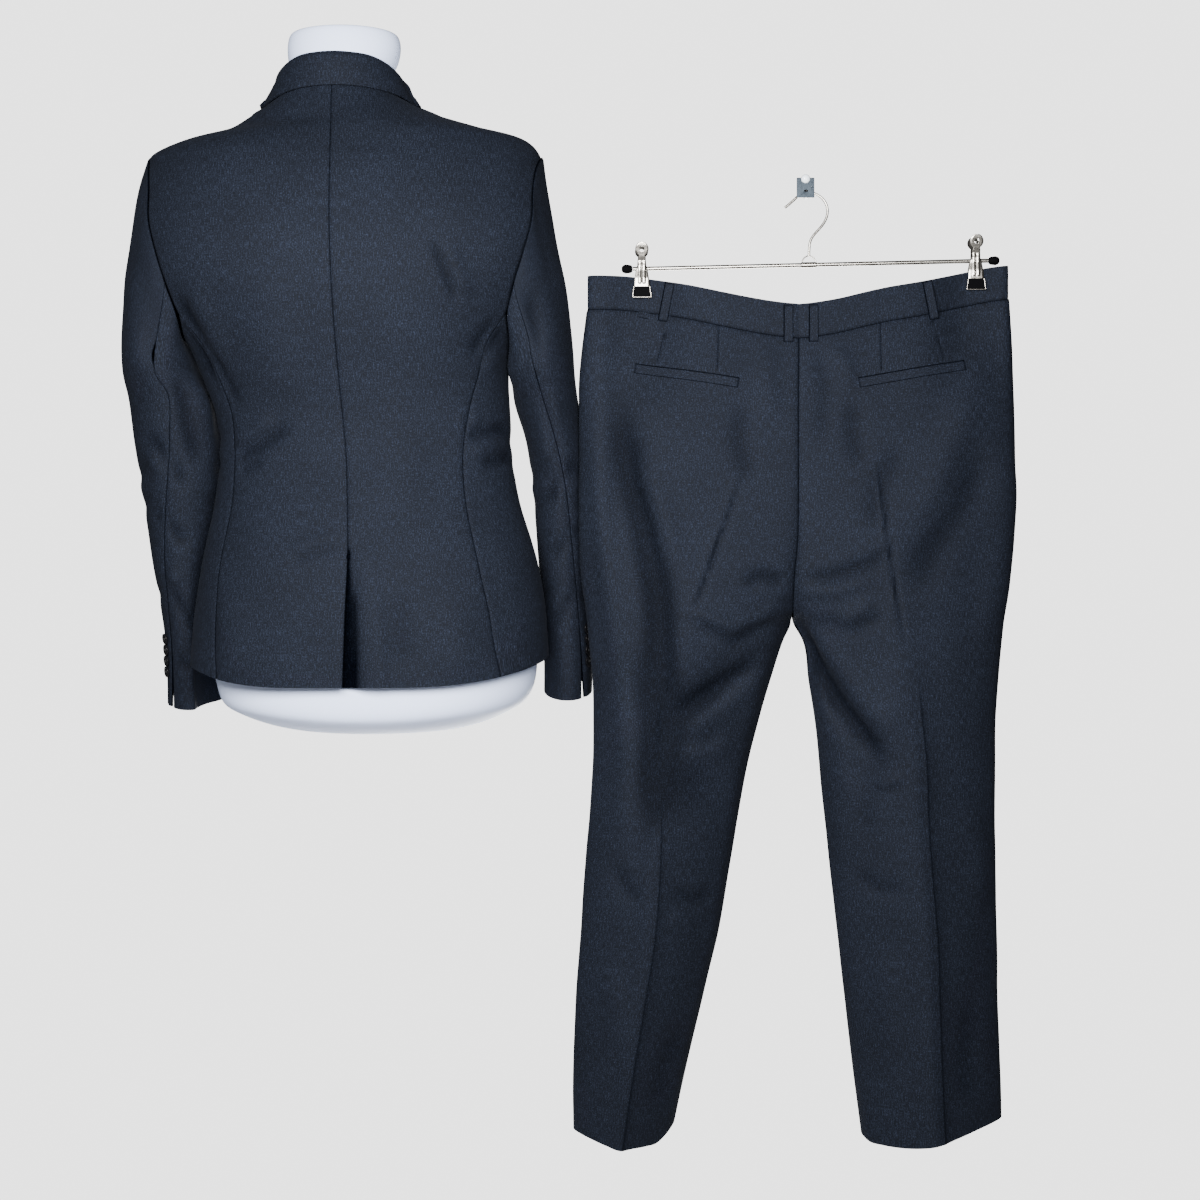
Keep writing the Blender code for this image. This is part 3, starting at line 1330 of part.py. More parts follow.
def form_neck():
    """The neck and its cap, which stand on the torso."""
    angles = np.radians(np.arange(FORM_SIDES) * 360 / FORM_SIDES)
    rings = []
    for z, size in ((NECK_JOIN + SEAM, 1.0), (0.092, 1.0), (0.104, 1.0), (0.120, 1.0),
                    (CAP_HEIGHT - 0.005, 0.985), (CAP_HEIGHT - 0.0012, 0.945),
                    (CAP_HEIGHT, 0.88)):
        ring = section(FORM, angles, np.full(FORM_SIDES, z))
        middle = ring.mean(axis=0)
        rings.append(middle + (ring - middle) * size)
    rings = np.array(rings)
    ends = [rings[0].mean(axis=0), rings[-1].mean(axis=0) + np.array([0, 0, 0.0012])]
    verts = list(rings.reshape(-1, 3)) + ends
    body("form_neck", verts, ring_faces(len(rings), FORM_SIDES), "form_shell")


def form_peg():
    """The peg that carries the form from the wall, hidden behind it, and its wall plate."""
    x, z = PEG
    start = float(FORM.at("front", z)) + 0.0015
    plate = 0.005
    sides = 16
    for name, radius, near, far in (("form_peg", 0.011, start, -plate - SEAM),
                                    ("form_peg_plate", 0.018, -plate, 0.0)):
        verts, faces = [], []
        for y in (near, far):
            for step in range(sides):
                turn = 2 * math.pi * step / sides
                verts.append((x + radius * math.cos(turn), y, z + radius * math.sin(turn)))
        for step in range(sides):
            after = (step + 1) % sides
            faces.append((step, after, after + sides, step + sides))
        faces.append(tuple(range(sides - 1, -1, -1)))
        faces.append(tuple(range(sides, 2 * sides)))
        body(name, verts, faces, "zinc")


def jacket():
    for side in (-1, 1):
        back_panel(side)
        side_panel(side)
        front_panel(side)
        lapel(side)
        cuff_buttons(side, sleeve(side))
    collar()
    front_button()


def main():
    clear_scene()
    jacket()
    trousers()
    rod()
    hook()
    clips()
    wall_hook()
    form_body()
    form_neck()
    form_peg()


main()
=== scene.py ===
"""The looks of a two-piece suit: the jacket on a dress form and the trousers on a clip hanger.

Each cloth piece starts from its solid in the frame: the outer face of that wall is read back
as rows and columns of points, drawn through at a finer pitch, and given its folds, seams and
weave. The hanger, clips, hooks and buttons are modelled over their own solids.
"""

import json
import math

import bmesh
import bpy
import numpy as np
from mathutils import Matrix, Vector, noise
from mathutils.bvhtree import BVHTree

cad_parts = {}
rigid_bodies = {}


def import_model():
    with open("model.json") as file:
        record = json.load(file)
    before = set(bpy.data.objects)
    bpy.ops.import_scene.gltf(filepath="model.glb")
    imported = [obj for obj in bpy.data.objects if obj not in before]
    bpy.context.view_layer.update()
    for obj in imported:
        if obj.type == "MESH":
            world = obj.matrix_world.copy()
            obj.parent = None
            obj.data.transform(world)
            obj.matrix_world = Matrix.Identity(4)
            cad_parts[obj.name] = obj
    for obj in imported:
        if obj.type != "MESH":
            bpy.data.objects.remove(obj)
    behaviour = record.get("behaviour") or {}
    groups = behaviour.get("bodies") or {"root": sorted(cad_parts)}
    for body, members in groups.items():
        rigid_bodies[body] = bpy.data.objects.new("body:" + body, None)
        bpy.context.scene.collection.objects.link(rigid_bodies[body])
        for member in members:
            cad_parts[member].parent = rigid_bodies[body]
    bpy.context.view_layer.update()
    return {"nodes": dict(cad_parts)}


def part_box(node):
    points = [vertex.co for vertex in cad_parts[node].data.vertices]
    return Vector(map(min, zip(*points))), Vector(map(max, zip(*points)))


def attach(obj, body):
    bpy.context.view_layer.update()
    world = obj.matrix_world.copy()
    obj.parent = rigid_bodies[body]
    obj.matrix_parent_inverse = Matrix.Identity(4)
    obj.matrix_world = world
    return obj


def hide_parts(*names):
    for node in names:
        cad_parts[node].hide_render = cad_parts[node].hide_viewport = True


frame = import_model()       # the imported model, which stays as it is

bl_info = {
    "name": "Two-Piece Suit",
    "version": (1, 0, 0),
    "blender": (4, 5, 0),
    "location": "View3D > Sidebar > Suit",
    "description": "Builds the looks of a tailored jacket and trousers round their packed model",
    "category": "Add Mesh",
}

NODES = frame["nodes"]
MM = 0.001
ROOM, WALL = -1, 1      # the two ways a face can look, along y


# ---------------------------------------------------------------- sizes and colours

def length(name, default, description):
    return bpy.props.FloatProperty(name=name, default=default, description=description,
                                   unit="LENGTH", precision=4)


def colour(name, default, description):
    return bpy.props.StringProperty(name=name, default=default, description=description)


class SuitCloth(bpy.types.PropertyGroup):
    """Sizes of the cloth and its making up."""
    wall: length("Cloth", 0.0015, "Thickness of the suiting, with its pressed seams")
    collar_wall: length("Collar", 0.0020, "Thickness of the collar, which is two layers")
    seam_gap: length("Seam gap", 0.0003, "Gap that the solids keep at a seam, closed here")
    seam_width: length("Seam width", 0.0022, "How far from a seam the cloth starts to sink")
    seam_depth: length("Seam depth", 0.0011, "How deep the cloth sinks into a seam")
    pitch: length("Mesh pitch", 0.0040, "Distance between the mesh's rows and columns")
    ripple: length("Ripple", 0.0007, "Height of the cloth's faint unevenness")
    ripple_size: length("Ripple size", 0.055, "Distance from one faint swell to the next")


class SuitColours(bpy.types.PropertyGroup):
    """Colours, as sRGB hex values."""
    suiting: colour("Suiting", "#0e1118", "The middle tone of the cloth")
    suiting_dark: colour("Suiting, dark", "#07080b", "The dark yarns")
    suiting_light: colour("Suiting, light", "#282e3d", "The light fibres of the heather")
    button: colour("Buttons", "#0b0b0e", "Polyester buttons")
    form: colour("Dress form", "#ccd8f5", "The form's cover")
    rubber: colour("Rubber", "#030304", "The clips' pads and the rod's ends")
    steel: colour("Wall hook", "#30363c", "Galvanised steel")
    chrome: colour("Chrome", "#a09c95", "The hanger's plating")
    stud: colour("Stud", "#e6eef6", "The wall hook's glass stud")
    stage: colour("Stage", "#f7f7f8", "Floor and backdrop")


def cloth():
    return bpy.context.scene.suit_cloth


def colours():
    return bpy.context.scene.suit_colours


def linear(text):
    """An sRGB hex colour as linear red, green, blue and alpha."""
    parts = [int(text[place:place + 2], 16) / 255 for place in (1, 3, 5)]
    made = [part / 12.92 if part <= 0.04045 else ((part + 0.055) / 1.055) ** 2.4
            for part in parts]
    return (*made, 1.0)


# ---------------------------------------------------------------- materials

def add_node(tree, kind, settings=None, **inputs):
    """Add a node, set its properties, and set or link its inputs by name or number. A colour
    ramp takes its stops as (place, colour) pairs."""
    made = tree.nodes.new(kind)
    for name, value in (settings or {}).items():
        if name != "stops":
            setattr(made, name, value)
            continue
        band = made.color_ramp.elements
        while len(band) < len(value):
            band.new(0.5)
        for element, (place, tone) in zip(band, value):
            element.position = place
            element.color = tone
    for name, value in inputs.items():
        socket = made.inputs[int(name[1:])] if name[0] == "i" and name[1:].isdigit() \
            else made.inputs[name.replace("_", " ")]
        if isinstance(value, bpy.types.NodeSocket):
            tree.links.new(value, socket)
        else:
            socket.default_value = value
    return made


def new_material(name):
    """An empty material with its Principled BSDF, and the tree that holds it."""
    made = bpy.data.materials.get(name)
    if made:
        return made, None, None
    made = bpy.data.materials.new(name)
    made.use_nodes = True
    return made, made.node_tree, made.node_tree.nodes["Principled BSDF"]


# The cloth's noises: width and length of a grain in mm, detail and roughness of the noise.
STREAK = (0.8, 9.0, 3.0, 0.6)       # the heather's streaks along the warp
FIBRE = (1.1, 1.76, 2.0, 0.7)       # the light fibres, drawn coarser than real to show
SWELL = (70.0, 70.0, 1.0, 0.5)      # the slow change of tone across the cloth
TWILL = 1.5             # mm: pitch of the twill line, drawn about twice as coarse as real
WEAVE_RISE = 0.00022    # m: height of the weave in the bump
SEAM_AND_SHADE_TONE = (0.14, 0.145, 0.16, 1)      # what a seam, or the painted shade of a hollow, leaves of the tone
SHEEN = (("Sheen Weight", 0.008), ("Specular IOR Level", 0.06))     # and a seam or painted shade leaves none of these


def suiting():
    """Worsted wool and viscose suiting, twill woven and pressed: matt, with a heather of
    light fibres that runs down the warp, and a faint sheen where it turns away."""
    made, tree, shader = new_material("worsted_suiting")
    if tree is None:
        return made
    uv = add_node(tree, "ShaderNodeUVMap", {"uv_map": "cloth"}).outputs[0]
    noises = []
    for across, along, detail, roughness in (STREAK, FIBRE, SWELL):
        grain = add_node(tree, "ShaderNodeMapping", Vector=uv,
                         Scale=(1000 / across, 1000 / along, 1)).outputs[0]
        noises.append(add_node(tree, "ShaderNodeTexNoise", Vector=grain, Scale=1.0, Detail=detail,
                               Roughness=roughness).outputs["Fac"])
    streak, fibre, swell = noises
    heather = add_node(tree, "ShaderNodeMix", {"data_type": "FLOAT"}, Factor=0.55, i2=streak,
                       i3=fibre).outputs[0]
    toned = add_node(tree, "ShaderNodeMix", {"data_type": "FLOAT"}, Factor=0.05, i2=heather,
                     i3=swell).outputs[0]
    tones = colours()
    stops = ((0.30, linear(tones.suiting_dark)), (0.50, linear(tones.suiting)),
             (0.72, linear(tones.suiting_light)))
    body = add_node(tree, "ShaderNodeValToRGB", {"stops": stops}, Fac=toned).outputs["Color"]
    # The seam attribute: dark seam lines, and painted shade in hollows, the vent and beside strips.
    seam =add_node(tree, "ShaderNodeAttribute", {"attribute_name": "seam"}).outputs["Fac"]
    dark = add_node(tree, "ShaderNodeMix", {"data_type": "RGBA", "blend_type": "MULTIPLY"},
                    Factor=seam, i6=body, i7=SEAM_AND_SHADE_TONE).outputs[2]
    tree.links.new(dark, shader.inputs["Base Color"])
    pitch = add_node(tree, "ShaderNodeMapping", Vector=uv,
                     Scale=(1000 / TWILL, 1000 / TWILL, 1)).outputs[0]
    twill = add_node(tree, "ShaderNodeTexWave", {"bands_direction": "DIAGONAL"}, Vector=pitch,
                     Scale=0.32, Distortion=0.6, Detail=1.0).outputs["Fac"]
    weave = add_node(tree, "ShaderNodeMix", {"data_type": "FLOAT"}, Factor=0.55, i2=twill,
                     i3=fibre).outputs[0]
    bump = add_node(tree, "ShaderNodeBump", Strength=0.55, Distance=WEAVE_RISE, Height=weave)
    tree.links.new(bump.outputs[0], shader.inputs["Normal"])
    rough = add_node(tree, "ShaderNodeMapRange", Value=streak, From_Min=0.3, From_Max=0.7,
                     To_Min=0.68, To_Max=0.86).outputs[0]
    tree.links.new(rough, shader.inputs["Roughness"])
    # Seams and painted shade lose their sheen and specular gloss as well.
    for name, most in SHEEN:
        gloss = add_node(tree, "ShaderNodeMapRange", Value=seam, To_Min=most, To_Max=0.0)
        tree.links.new(gloss.outputs[0], shader.inputs[name])
    shader.inputs["Sheen Roughness"].default_value = 0.5
    shader.inputs["Sheen Tint"].default_value = (0.62, 0.70, 0.90, 1)
    return made


def plain(name, tone, rough, grain, spread, metallic=0.0, bump=0.0, coat=0.0, gloss=0.5):
    """A material of one tone. A grain of this many millimetres spreads its colour by a share,
    roughens it and, if bump is given, raises its surface by that many millimetres."""
    made, tree, shader = new_material(name)
    if tree is None:
        return made
    base = linear(tone)
    place = add_node(tree, "ShaderNodeTexCoord").outputs["Object"]
    sized = add_node(tree, "ShaderNodeMapping", Vector=place, Scale=[1000 / grain] * 3).outputs[0]
    speck = add_node(tree, "ShaderNodeTexNoise", Vector=sized, Scale=1.0,
                     Detail=2.0).outputs["Fac"]
    low = [part * (1 - spread) for part in base[:3]] + [1]
    high = [min(1.0, part * (1 + spread)) for part in base[:3]] + [1]
    tint = add_node(tree, "ShaderNodeValToRGB", {"stops": ((0.3, low), (0.7, high))}, Fac=speck)
    tree.links.new(tint.outputs["Color"], shader.inputs["Base Color"])
    span = add_node(tree, "ShaderNodeMapRange", Value=speck, From_Min=0.3, From_Max=0.7,
                    To_Min=rough * 0.85, To_Max=min(1, rough * 1.15)).outputs[0]
    tree.links.new(span, shader.inputs["Roughness"])
    shader.inputs["Metallic"].default_value = metallic
    shader.inputs["Coat Weight"].default_value = coat
    shader.inputs["Specular IOR Level"].default_value = gloss
    if bump:
        relief = add_node(tree, "ShaderNodeBump", Strength=0.4, Distance=bump * MM, Height=speck)
        tree.links.new(relief.outputs[0], shader.inputs["Normal"])
    return made


def button_plastic():
    """Polyester button, cast and tumbled: near black, with a soft gloss."""
    return plain("cast_polyester_button", colours().button, 0.22, grain=2.5, spread=0.25,
                 gloss=0.2)


def form_cover():
    """Dress form, moulded foam under a smooth white jersey: matt with a cool tint."""
    return plain("moulded_form_cover", colours().form, 0.62, grain=0.8, spread=0.02, bump=0.08)


def chrome_plate():
    """Chrome plate on pressed steel: bright, with faint polishing marks."""
    return plain("chrome_plate", colours().chrome, 0.27, metallic=1.0, grain=1.2, spread=0.04)


def galvanised_steel():
    """Galvanised steel strip, folded: grey with a cloudy spangle and a dull gloss."""
    return plain("galvanised_steel", colours().steel, 0.38, metallic=1.0, grain=3.0,
                 spread=0.16, bump=0.05)


def glaze():
    """Glazed stud: a pale bluish white with a clear gloss."""
    return plain("glazed_stud", colours().stud, 0.12, grain=2.0, spread=0.03, coat=0.6)


def rubber():
    """Moulded rubber: black and matt, with the mould's fine grain."""
    return plain("moulded_rubber", colours().rubber, 0.75, grain=0.9, spread=0.2, bump=0.06,
                 gloss=0.03)


# ---------------------------------------------------------------- cloth from the frame

def blend(t):
    """A smooth step from 0 to 1."""
    t = np.clip(t, 0, 1)
    return t * t * (3 - 2 * t)


def unit(vectors):
    return vectors / np.maximum(np.linalg.norm(vectors, axis=-1, keepdims=True), 1e-12)


def merged_mesh(node):
    """A copy of a node's mesh, its doubles merged."""
    work = bmesh.new()
    work.from_mesh(NODES[node].data)
    bmesh.ops.remove_doubles(work, verts=work.verts, dist=1e-6)
    return work


def merged(node):
    """The points and triangles of that copy."""
    work = merged_mesh(node)
    points = np.array([vertex.co for vertex in work.verts])
    faces = [[vertex.index for vertex in face.verts] for face in work.faces]
    work.free()
    return points, faces


TRIES = 80      # how many edges as long as the wall is thick are tried as the rim's


def crossed(points, faces):
    """Each triangle's normal, as long as twice its area."""
    first, second, third = points[np.array(faces)].transpose(1, 0, 2)
    return np.cross(second - first, third - first)


def around(edges, faces, normals, pair, face):
    """Walk the strip of rim faces that starts at an edge across the wall, and list it."""
    rim, here = set(), pair
    while True:
        far = next(v for v in faces[face] if v not in here)
        across = []
        for vertex in here:
            other = next(f for f in edges[frozenset((vertex, far))] if f != face)
            across.append((normals[other] @ normals[face], other, vertex))
        _, second, kept = max(across)
        rim |= {face, second}
        here = tuple(v for v in faces[second] if v != kept)
        following = [f for f in edges[frozenset(here)] if f != second]
        if set(here) == set(pair):
            return rim
        if not following or following[0] in rim:
            return None
        face = following[0]


def skins(points, faces, thickness):
    """The two faces of a wall, each a list of triangles, without the rim between them."""
    normals = unit(crossed(points, faces))
    edges = {}
    for index, face in enumerate(faces):
        for start, end in zip(face, face[1:] + face[:1]):
            edges.setdefault(frozenset((start, end)), []).append(index)
    lengths = {edge: np.linalg.norm(np.subtract(*points[list(edge)])) for edge in edges}
    likely = sorted(edges, key=lambda edge: abs(lengths[edge] - thickness))
    for edge in likely[:TRIES]:
        rim = around(edges, faces, normals, tuple(edge), edges[edge][0])
        if rim is None:
            continue
        rest = [face for index, face in enumerate(faces) if index not in rim]
        first = connected(rest)
        if 2 * len(first) == len(rest):
            taken = {tuple(face) for face in first}
            return first, [face for face in rest if tuple(face) not in taken]
    raise RuntimeError("no wall was found")


def connected(faces):
    """The faces that hang together with the first one."""
    by_vertex = {}
    for face in faces:
        for vertex in face:
            by_vertex.setdefault(vertex, []).append(face)
    found, waiting = {tuple(faces[0])}, [faces[0]]
    while waiting:
        for vertex in waiting.pop():
            for face in by_vertex[vertex]:
                if tuple(face) not in found:
                    found.add(tuple(face))
                    waiting.append(face)
    return [face for face in faces if tuple(face) in found]


def wall_grid(node, thickness):
    """A wall's outer face as rows and columns of points: the lowest row first, and the
    columns from left to right as seen from outside."""
    points, faces = merged(node)
    faces = max(skins(points, faces, thickness),
                key=lambda skin: np.linalg.norm(crossed(points, skin), axis=1).sum())
    opposite, beside = {}, {}
    for face in faces:
        for start, end, third in zip(face, face[1:] + face[:1], face[2:] + face[:2]):
            opposite.setdefault(frozenset((start, end)), []).append(third)
            beside.setdefault(start, set()).update((end, third))
    border = {}
    for edge, thirds in opposite.items():
        if len(thirds) == 1:
            start, end = edge
            border.setdefault(start, []).append(end)
            border.setdefault(end, []).append(start)
    sharp = [vertex for vertex, near in beside.items() if len(near) == 2]
    blunt = [vertex for vertex, near in beside.items() if len(near) == 3]
    start = min(sharp, key=lambda vertex: points[vertex][2])
    ways = []
    for step in border[start]:
        way = [start, step]
        while way[-1] not in blunt:
            way.append(next(v for v in border[way[-1]] if v != way[-2]))
        ways.append(way)
    row = min(ways, key=lambda way: abs(points[way[-1]][2] - points[start][2]))[::-1]
    used, rows = set(row), [row]
    while len(used) < len(beside):
        fresh = [next(v for v in opposite[frozenset(pair)] if v not in used)
                 for pair in zip(row, row[1:])]
        first = next(v for v in opposite[frozenset((row[0], fresh[0]))]
                     if v not in used and v not in fresh and v != row[1])
        row = [first] + fresh
        used.update(row)
        rows.append(row)
    grid = points[np.array(rows)]
    face = next(face for face in faces if rows[0][0] in face and rows[0][1] in face)
    place = face.index(rows[0][0])
    return grid if face[(place + 1) % 3] == rows[0][1] else grid[:, ::-1]


def travelled(grid, axis):
    """How far each row or column lies from the first one, along the cloth."""
    steps = np.linalg.norm(np.diff(grid, axis=axis), axis=-1).mean(axis=1 - axis)
    return np.concatenate([[0.0], np.cumsum(steps)])


def drawn_through(values, knots, places):
    """Smooth curves through values at knots, along the first axis, read at the places."""
    slopes = np.gradient(values, knots, axis=0)
    low = np.clip(np.searchsorted(knots, places, side="right") - 1, 0, len(knots) - 2)
    gap = (knots[low + 1] - knots[low]).reshape(-1, 1, 1)
    t = ((places - knots[low]).reshape(-1, 1, 1)) / gap
    return ((1 + 2 * t) * (1 - t) ** 2 * values[low] + t * (1 - t) ** 2 * gap * slopes[low]
            + t * t * (3 - 2 * t) * values[low + 1] - t * t * (1 - t) * gap * slopes[low + 1])


FINE = (-3.2, -2.2, -1.4, -0.7, 0, 0.7, 1.4, 2.2, 3.2)      # mm: rows beside a seam or crease
FINE_GAP = 0.0009       # and how near another row may come to them


def places_along(span, pitch, fine):
    """Places along a border to border line, closer together near the places in fine."""
    places = np.linspace(0, span, max(3, round(span / pitch) + 1))
    extra = [place + offset * MM for place in fine for offset in FINE]
    extra = [place for place in extra if 0.0003 < place < span - 0.0003]
    kept = [place for place in places if all(abs(place - other) > FINE_GAP for other in extra)]
    return np.array(sorted({0.0, float(span)} | set(kept) | set(extra)))


# ---------------------------------------------------------------- one piece of cloth

SEAM_LINE = 0.00055     # half width of the dark line along a seam
HELD = (0.15, 0.012)    # the share of a fold that a seam lets through, and how far in it holds
HOLLOW = (0.5, 0.006)   # how dark the deepest folds are shaded, and their depth: the soft light
                        # alone would leave them pale
FOLD_GAIN = (0.8, 1.6)  # what the tables' heights are raised by, for folds seen along x and y
VIEWS = {"back": (1, -1), "front": (1, 1), "left": (0, -1), "right": (0, 1)}


def bell(distance, width):
    """1 at no distance, and falling to 0 past the width."""
    return np.exp(-(distance / width) ** 2)


class Cloth:
    """One piece of cloth as a grid of points, with its weave's map, its seams and its painted shade.
    """

    def __init__(self, grid, pitch=None, fine_columns=(), edges=()):
        """The grid is drawn through at a pitch, and finer beside some columns and edges."""
        pitch = pitch or cloth().pitch
        across, along = travelled(grid, 1), travelled(grid, 0)
        self.width, self.height = across[-1], along[-1]
        sides, ends = {"first": 0.0, "last": self.width}, {"bottom": 0.0, "top": self.height}
        fine_columns = [*fine_columns, *(sides[edge] for edge in edges if edge in sides)]
        self.columns = places_along(self.width, pitch, fine_columns)
        self.rows = places_along(self.height, pitch, [ends[e] for e in edges if e in ends])
        points = drawn_through(grid, along, self.rows)
        points = drawn_through(points.transpose(1, 0, 2), across, self.columns)
        self.points = points.transpose(1, 0, 2)
        # how dark each point is: a seam's line, or painted shade
        self.seam = np.zeros(self.points.shape[:2])

    def normals(self):
        return unit(np.cross(np.gradient(self.points, axis=1), np.gradient(self.points, axis=0)))

    def move(self, amounts):
        """Move the points out along the normals."""
        self.points = self.points + self.normals() * amounts[..., None]

    def from_edge(self, edge):
        """Each point's distance from one border, along the cloth."""
        axis = 1 if edge in ("first", "last") else 0
        steps = np.linalg.norm(np.diff(self.points, axis=axis), axis=-1)
        zero = np.zeros_like(np.take(steps, [0], axis=axis))
        run = np.concatenate([zero, np.cumsum(steps, axis=axis)], axis=axis)
        if edge in ("last", "top"):
            run = np.take(run, [-1], axis=axis) - run
        return run

    def close(self, *edges):
        """Draw borders out over the solids' seam gap, and sink the cloth along them."""
        for edge in edges:
            distance = self.from_edge(edge)
            self.reach(edge, cloth().seam_gap)
            self.move(-cloth().seam_depth * bell(distance, cloth().seam_width))
            self.shade(bell(distance, SEAM_LINE))

    def shade(self, amounts):
        """Darken the cloth to at least these amounts, for a seam's line or painted shade."""
        self.seam = np.maximum(self.seam, amounts)

    def reach(self, edge, amount, sink=0.0):
        """Move a border outwards along the cloth, and down by sink."""
        normal = self.normals()
        view = self.points if edge in ("bottom", "top") else self.points.transpose(1, 0, 2)
        turned = normal if edge in ("bottom", "top") else normal.transpose(1, 0, 2)
        line, beside = (0, 1) if edge in ("bottom", "first") else (-1, -2)
        view[line] += unit(view[line] - view[beside]) * amount - turned[line] * sink

    def fold(self, folds, ripple=1.0, edges=()):
        """Raise and sink the folds that the table names, then the faint unevenness. Along
        the edges that meet another piece the seam holds the cloth still."""
        height = fold_height(self.points, self.normals(), folds)
        least, reach = HELD
        for edge in edges:
            height = height * (least + (1 - least) * blend(self.from_edge(edge) / reach))
        self.move(height)
        # Paint shade into the hollows, darker the deeper they sink.
        self.shade(HOLLOW[0] * blend(-height / HOLLOW[1]))
        size = cloth().ripple_size
        swell = [noise.noise(Vector(point) / size) for point in self.points.reshape(-1, 3)]
        self.move(np.array(swell).reshape(self.seam.shape) * cloth().ripple * ripple)

    def uv(self, grain):
        """The weave's map, in metres: across from the grain column, and up the cloth."""
        across = self.from_edge("first")
        across = across - across[:, grain][:, None]
        up = self.from_edge("bottom")[:, grain][:, None] + np.zeros_like(across)
        return np.stack([across, up], axis=-1)


def from_line(flat, path):
    """How far each point of a view lies from a line, and at what share of its length."""
    steps = np.linalg.norm(np.diff(path, axis=0), axis=1)
    best, share, start = np.full(flat.shape[:2], 1e9), np.zeros(flat.shape[:2]), 0.0
    for first, last, step in zip(path, path[1:], steps):
        line = (last - first) / step
        along = np.clip((flat - first) @ line, 0, step)
        distance = np.linalg.norm(flat - first - along[..., None] * line, axis=-1)
        nearer = distance < best
        best = np.where(nearer, distance, best)
        share = np.where(nearer, (start + along) / steps.sum(), share)
        start += step
    return best, share


def fold_height(points, normals, folds):
    """The sum of the folds at each point. A fold lies on what faces its view, and fades out
    over three tenths of its length at each end."""
    total = np.zeros(points.shape[:2])
    for view, lines in folds.items():
        axis, sign = VIEWS[view]
        facing = blend((normals[..., axis] * sign - 0.1) / 0.35)
        for rise, width, *path in lines:
            distance, share = from_line(points[..., [1 - axis, 2]],
                                        np.array(path).reshape(-1, 2) * MM)
            ends = blend(share / 0.3) * blend((1 - share) / 0.3)
            total += FOLD_GAIN[axis] * rise * MM * ends * bell(distance, width * MM) * facing
    return total


def new_object(name, mesh, material):
    mesh.materials.append(material)
    made = bpy.data.objects.new(name, mesh)
    bpy.context.scene.collection.objects.link(made)
    return made


def select_only(*pieces):
    """Select these pieces and nothing else, and make the first one active."""
    for other in bpy.context.selected_objects:
        other.select_set(False)
    for piece in pieces:
        piece.select_set(True)
    if pieces:
        bpy.context.view_layer.objects.active = pieces[0]


def apply_modifiers(piece):
    """Apply a piece's modifiers, in order."""
    select_only(piece)
    for modifier in list(piece.modifiers):
        bpy.ops.object.modifier_apply(modifier=modifier.name)


def sheet(node, piece, wall, column):
    """A cloth piece's object in place of its solid: a thin shell with its weave's map, whose
    grain follows a column, and its seam shading. Its flat size and share are not used."""
    name = node + "_cloth"
    rows, columns = piece.points.shape[:2]
    index = np.arange(rows * columns).reshape(rows, columns)
    faces = np.stack([index[:-1, :-1], index[:-1, 1:], index[1:, 1:], index[1:, :-1]], axis=-1)
    mesh = bpy.data.meshes.new(name)
    mesh.from_pydata(piece.points.reshape(-1, 3).tolist(), [], faces.reshape(-1, 4).tolist())
    uv = mesh.uv_layers.new(name="cloth")
    corners = np.zeros(len(mesh.loops), dtype=np.int32)
    mesh.loops.foreach_get("vertex_index", corners)
    uv.data.foreach_set("uv", piece.uv(column).reshape(-1, 2)[corners].ravel().astype(np.float32))
    # The seam attribute holds the seam lines and the painted shade.
    shade = mesh.attributes.new("seam", "FLOAT", "POINT")
    shade.data.foreach_set("value", piece.seam.ravel().astype(np.float32))
    mesh.shade_smooth()
    made = new_object(name, mesh, suiting())
    shell = made.modifiers.new("wall", "SOLIDIFY")
    shell.thickness, shell.offset, shell.use_even_offset = wall, -1, False
    apply_modifiers(made)
    made.data.set_sharp_from_angle(angle=math.radians(50))
    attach(made, "root")
    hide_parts(node)


# ---------------------------------------------------------------- folds

# The folds, by the side they are seen from. Each one, all in mm: how far it rises or sinks, how
# wide it is, and the points of its line, each as sideways and up. Sideways is x on the back and
# front, and y on the left and right.
JACKET_FOLDS = {
    "back": (
        (-3.4, 5, -418, -104, -404, -140, -390, -178), (1.8, 10, -408, -108, -392, -146, -380, -172),
        (-3.4, 11, -700, -150, -673, -205, -652, -262), (2.2, 13, -682, -150, -660, -196, -641, -240),
        (-2.4, 9, -668, -222, -646, -252, -626, -284), (-2.6, 9, -646, -337, -606, -322, -566, -298),
        (2.0, 9, -648, -322, -612, -306, -585, -290), (-1.8, 7, -634, -352, -600, -336),
        (-2.4, 8, -392, -313, -362, -307, -336, -296), (-2.4, 8, -375, -343, -350, -336, -326, -322),
        (1.6, 9, -398, -298, -368, -290), (1.6, 8, -384, -328, -348, -318),
        (-1.8, 6, -574, -447, -540, -436, -510, -427), (1.4, 8, -572, -438, -538, -427, -514, -420),
        (-2.8, 10, -381, -230, -362, -206, -345, -188), (1.8, 10, -372, -240, -350, -218),
        (1.6, 26, -470, -240, -452, -330, -462, -400), (1.8, 30, -600, -120, -590, -220, -585, -300),
        (1.8, 22, -640, -470, -632, -545, -630, -580), (1.8, 22, -400, -470, -388, -540, -384, -580),
        (-1.4, 20, -452, -470, -446, -570),
    ),
    "front": (
        (-2.4, 12, -620, -120, -612, -190, -600, -250), (-2.4, 12, -430, -130, -436, -200, -452, -262),
        (-2.6, 9, -640, -300, -600, -318, -552, -330), (1.8, 10, -636, -284, -598, -300),
        (-2.6, 9, -370, -304, -430, -322, -500, -332), (1.8, 10, -376, -288, -420, -302),
        (2.0, 22, -620, -420, -628, -500, -624, -560), (2.0, 22, -400, -420, -392, -500, -394, -560),
    ),
    "left": (
        (-2.2, 9, -190, -300, -150, -316, -104, -306), (-1.8, 8, -180, -336, -140, -344),
    ),
    "right": (
        (-2.2, 9, -196, -300, -150, -314, -102, -304), (-1.8, 8, -182, -334, -138, -342),
    ),
}

